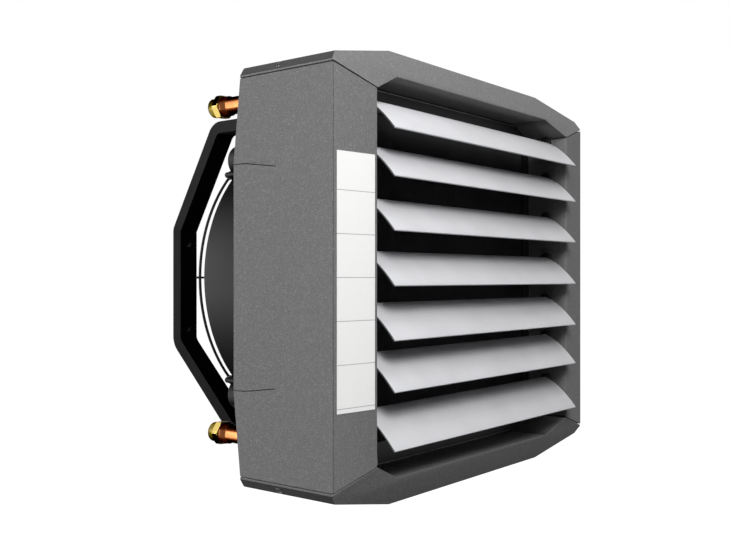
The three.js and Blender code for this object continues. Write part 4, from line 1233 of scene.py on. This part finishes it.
def dressMotor():
    a, b = behind(fan["motorDepths"])
    r = fan["motor"]
    profile = [(axisPoint, a), (0.018, a), (0.020, a + 0.001), (r - 0.007, a + 0.001),
               (r - 0.0015, a + 0.0045), (r, a + 0.008)]
    y = a + 0.011
    while y < b - 0.012:  # turned grooves round the can
        profile += [(r, y), (r - 0.0012, y + 0.0006), (r - 0.0012, y + 0.0022), (r, y + 0.0028)]
        y += 0.0062
    profile += [(r, b - 0.003), (r - 0.0012, b - 0.0008), (r - 0.003, b), (axisPoint, b)]
    can = turnedPiece("motorCan", profile, 96, False)
    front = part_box("fan_motor")[0].y
    shaft = barAlongY("motorShaft", 0, 0, (front, a + 0.002), fan["shaft"], 40)
    roundEdges(shaft, 0.0008, 2, 60, lambda m, d: m.y < front + 0.001)
    rivets = [barAlongY("motorRivet", *polar(r - 0.011, 45 + i * 90), (a - 0.001, a + 0.003), 0.003, 20)
              for i in range(4)]
    for rivet in rivets:
        roundEdges(rivet, 0.0007, 2, 60)
    finish(joined("fanMotor", [can, shaft] + rivets), "fan_motor")


dressFan()
dressMotor()
print("fan wheel and motor done")


# back plate, terminal box and pivots

rear = {
    "bead": (0.0075, 0.0012),  # half width and height of the pressed beads
    "beadSpans": ((-0.262, 0.205, -0.205, 0.240), (0.262, 0.205, 0.205, 0.240)),
    "screw": (0.0042, 0.0026),
    "screwPlaces": ((-0.150, 0.240), (-0.150, -0.240), (0.150, 0.240), (0.150, -0.240),
                    (-0.272, 0.0), (0.272, 0.110), (0.272, -0.110)),
    "boxCorner": 0.0033,
    "lidEdge": 0.0015,
    "lidPanelInset": 0.014,
    "lidScrewInset": 0.008,
    "lidScrew": (0.0034, 0.0024, 0.0004),  # radius, and half length and half width of its cross
}


def dressBackPlate():
    piece = nodeCopy("back_plate", "backPlate")
    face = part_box("back_plate")[1].y
    roundEdges(piece, 0.0005, 2, 40, lambda m, d: m.y > face - 0.0002, False)
    extras = []
    halfWide, tall = rear["bead"]
    for x0, z0, x1, z1 in rear["beadSpans"]:
        for end in (-1, 1):
            start, stop = Vector((x0, 0, z0 * end)), Vector((x1, 0, z1 * end))
            along = stop - start
            half = along.length / 2
            bead = boxBetween("plateBead", (-half, face - 0.001, -halfWide), (half, face + tall, halfWide))
            roundEdges(bead, halfWide * 0.8, 6, 40, lambda m, d: abs(d.y) > 0.001)
            roundEdges(bead, tall * 0.8, 3, 40, lambda m, d: m.y > face + tall - 0.0001)
            extras.append(shifted(bead, (start + stop) / 2,
                                  Matrix.Rotation(along.xz.angle_signed(Vector((1, 0))), 4, "Y")))
    radius, height = rear["screw"]
    top = face + height
    for x, z in rear["screwPlaces"]:
        head = barAlongY("plateScrew", x, z, (face - 0.0005, top), radius, 28)
        roundEdges(head, height * 0.55, 4, 60, lambda m, d: m.y > top - 0.0002)
        slot = boxBetween("plateScrewSlot", (x - radius, top - 0.0010, z - 0.0005),
                          (x + radius, top + 0.001, z + 0.0005))
        extras.append(carved(head, [slot]))
    finish(joined("backPlate", [piece] + extras), "back_plate")


def roundCorners(nodeName, pieceName, leastRun):
    # a copy of a box-shaped node with its four corners round; leastRun leaves out its short edges
    piece = nodeCopy(nodeName, pieceName)
    low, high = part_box(nodeName)
    roundEdges(piece, rear["boxCorner"], 5, 40, lambda m, d: abs(d.y) > leastRun and all(
        min(abs(m[i] - low[i]), abs(m[i] - high[i])) < 0.0003 for i in (0, 2)))
    return piece, low, high


def dressTerminalBox():
    finish(roundCorners("terminal_box", "terminalBox", 0.02)[0], "terminal_box", 40)
    lid, low, high = roundCorners("terminal_box_lid", "terminalLid", 0.002)
    top = high.y
    roundEdges(lid, rear["lidEdge"], 3, 40, lambda m, d: m.y > top - 0.0002)
    inset = rear["lidScrewInset"]
    radius, long, short = rear["lidScrew"]
    cutters, screws = [], []
    for x in (low.x + inset, high.x - inset):
        for z in (low.z + inset, high.z - inset):
            cutters.append(barAlongY("lidScrewSink", x, z, (top - 0.0016, top + 0.01), radius + 0.0006, 28))
            head = barAlongY("lidScrew", x, z, (top - 0.0022, top - 0.0003), radius, 28)
            roundEdges(head, 0.0008, 3, 60, lambda m, d: m.y > top - 0.0005)
            screws.append(carved(head, [
                boxBetween("lidScrewCross", (x - across, top - 0.0013, z - up), (x + across, top, z + up))
                for across, up in ((long, short), (short, long))]))
    carved(lid, cutters)
    inset = rear["lidPanelInset"]
    raised = boxBetween("lidPanel", (low.x + inset, top - 0.001, low.z + inset),
                        (high.x - inset, top + 0.0006, high.z - inset))
    roundEdges(raised, 0.0005, 2, 40, lambda m, d: m.y > top)
    finish(joined("terminalLid", [lid, raised]), "terminal_box_lid", 40)
    given(joined("lidScrews", screws), "terminal_box_lid", "zinc_steel")


gland = {
    "bore": 0.0045,
    "neck": 0.0077,
    "collar": 0.0080,
    "cap": 0.00935,
    "nut": 0.011,
    "nutHeight": 0.006,
    "ribs": 12,
}


def dressGland():
    low, high, middle = boxOf("cable_gland")
    foot = low.z
    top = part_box("terminal_box")[0].z - 0.0003
    bore, neck, collar, cap = (gland[key] for key in ("bore", "neck", "collar", "cap"))
    body = turnedPiece("cableGland", [
        (bore, foot), (0.0058, foot), (0.0078, foot + 0.0016), (0.0092, foot + 0.0045), (cap, foot + 0.0065),
        (cap, top - 0.0072), (collar, top - 0.0066), (collar, top - 0.0060), (neck, top + 0.0001),
        (neck, high.z), (bore, high.z)], 40)
    nut = hexAlongY("glandHexagon", (top - gland["nutHeight"], top), gland["nut"])
    carved(nut, [barAlongY("glandHole", 0, 0, (top - 0.02, top + 0.02), 0.0075, 40)])
    roundEdges(nut, 0.0007, 2, 40, lambda m, d: abs(d.y) < 0.002)
    ribs = ringOf(gland["ribs"], lambda i: boxBetween(
        "glandRib", (0.0088, foot + 0.0060, -0.0007), (0.0098, top - 0.0076, 0.0007)))
    # the lathe turns round Y, the gland stands upright
    whole = shifted(joined("cableGland", [body, nut] + ribs), (middle.x, middle.y, 0), stood(1))
    finish(whole, "cable_gland")


pivot = {
    "headFlats": 0.017,
    "washer": 0.012,
    "washerThickness": 0.0022,
    "shank": 0.005,
    "thread": 0.0012,
    "threadLength": 0.016,
    "bushEdge": 0.0008,
    "nutPlateEdge": 0.0006,
}


def dressPivots():
    r, washer, flat = pivot["shank"], pivot["washer"], pivot["washerThickness"]
    seat = bracket["corners"][0][1] + 0.0003
    corner = pivot["headFlats"] / 2 / cos(pi / 6)
    for end, endName in ends:
        tail = endName.capitalize()
        nodeName = f"pivot_bolt_{endName}"
        low, high, middle = boxOf(nodeName)
        inner, outer = sorted((abs(high.z), abs(low.z)))
        profile = [(finePoint, inner), (r - 0.0008, inner), (r, inner + 0.0008)]
        z = inner + pivot["thread"]
        while z < inner + pivot["threadLength"]:  # thread that shows under the nut plate
            profile += [(r, z), (r - 0.0006, z + 0.0006)]
            z += pivot["thread"]
        profile += [(r, z), (r, seat), (washer - 0.0006, seat), (washer, seat + 0.0006),
                    (washer, seat + flat - 0.0005), (washer - 0.0008, seat + flat), (finePoint, seat + flat)]
        shank = turnedPiece("pivotShank", profile, 48, False)
        base = seat + flat - 0.0003
        head = hexAlongY("pivotHead", (base, outer), corner)
        crown = turnedPiece("pivotCrown", [
            (finePoint, base - 0.001), (corner + 0.001, base - 0.001), (corner + 0.001, outer - 0.0019),
            (corner - 0.0013, outer), (finePoint, outer)], 64, False)
        carved(head, [crown], "INTERSECT")
        bolt = joined("pivotBolt" + tail, [shank, head])
        finish(shifted(bolt, (middle.x, middle.y, 0), stood(end)), nodeName)
        for nodeStart, pieceStart, width in (("pivot_bush_", "pivotBush", pivot["bushEdge"]),
                                             ("pivot_nut_plate_", "nutPlate", pivot["nutPlateEdge"])):
            piece = nodeCopy(nodeStart + endName, pieceStart + tail)
            finish(roundEdges(piece, width, 2, 40), nodeStart + endName)


dressBackPlate()
dressTerminalBox()
dressGland()
dressPivots()
print("back plate, terminal box and pivots done")
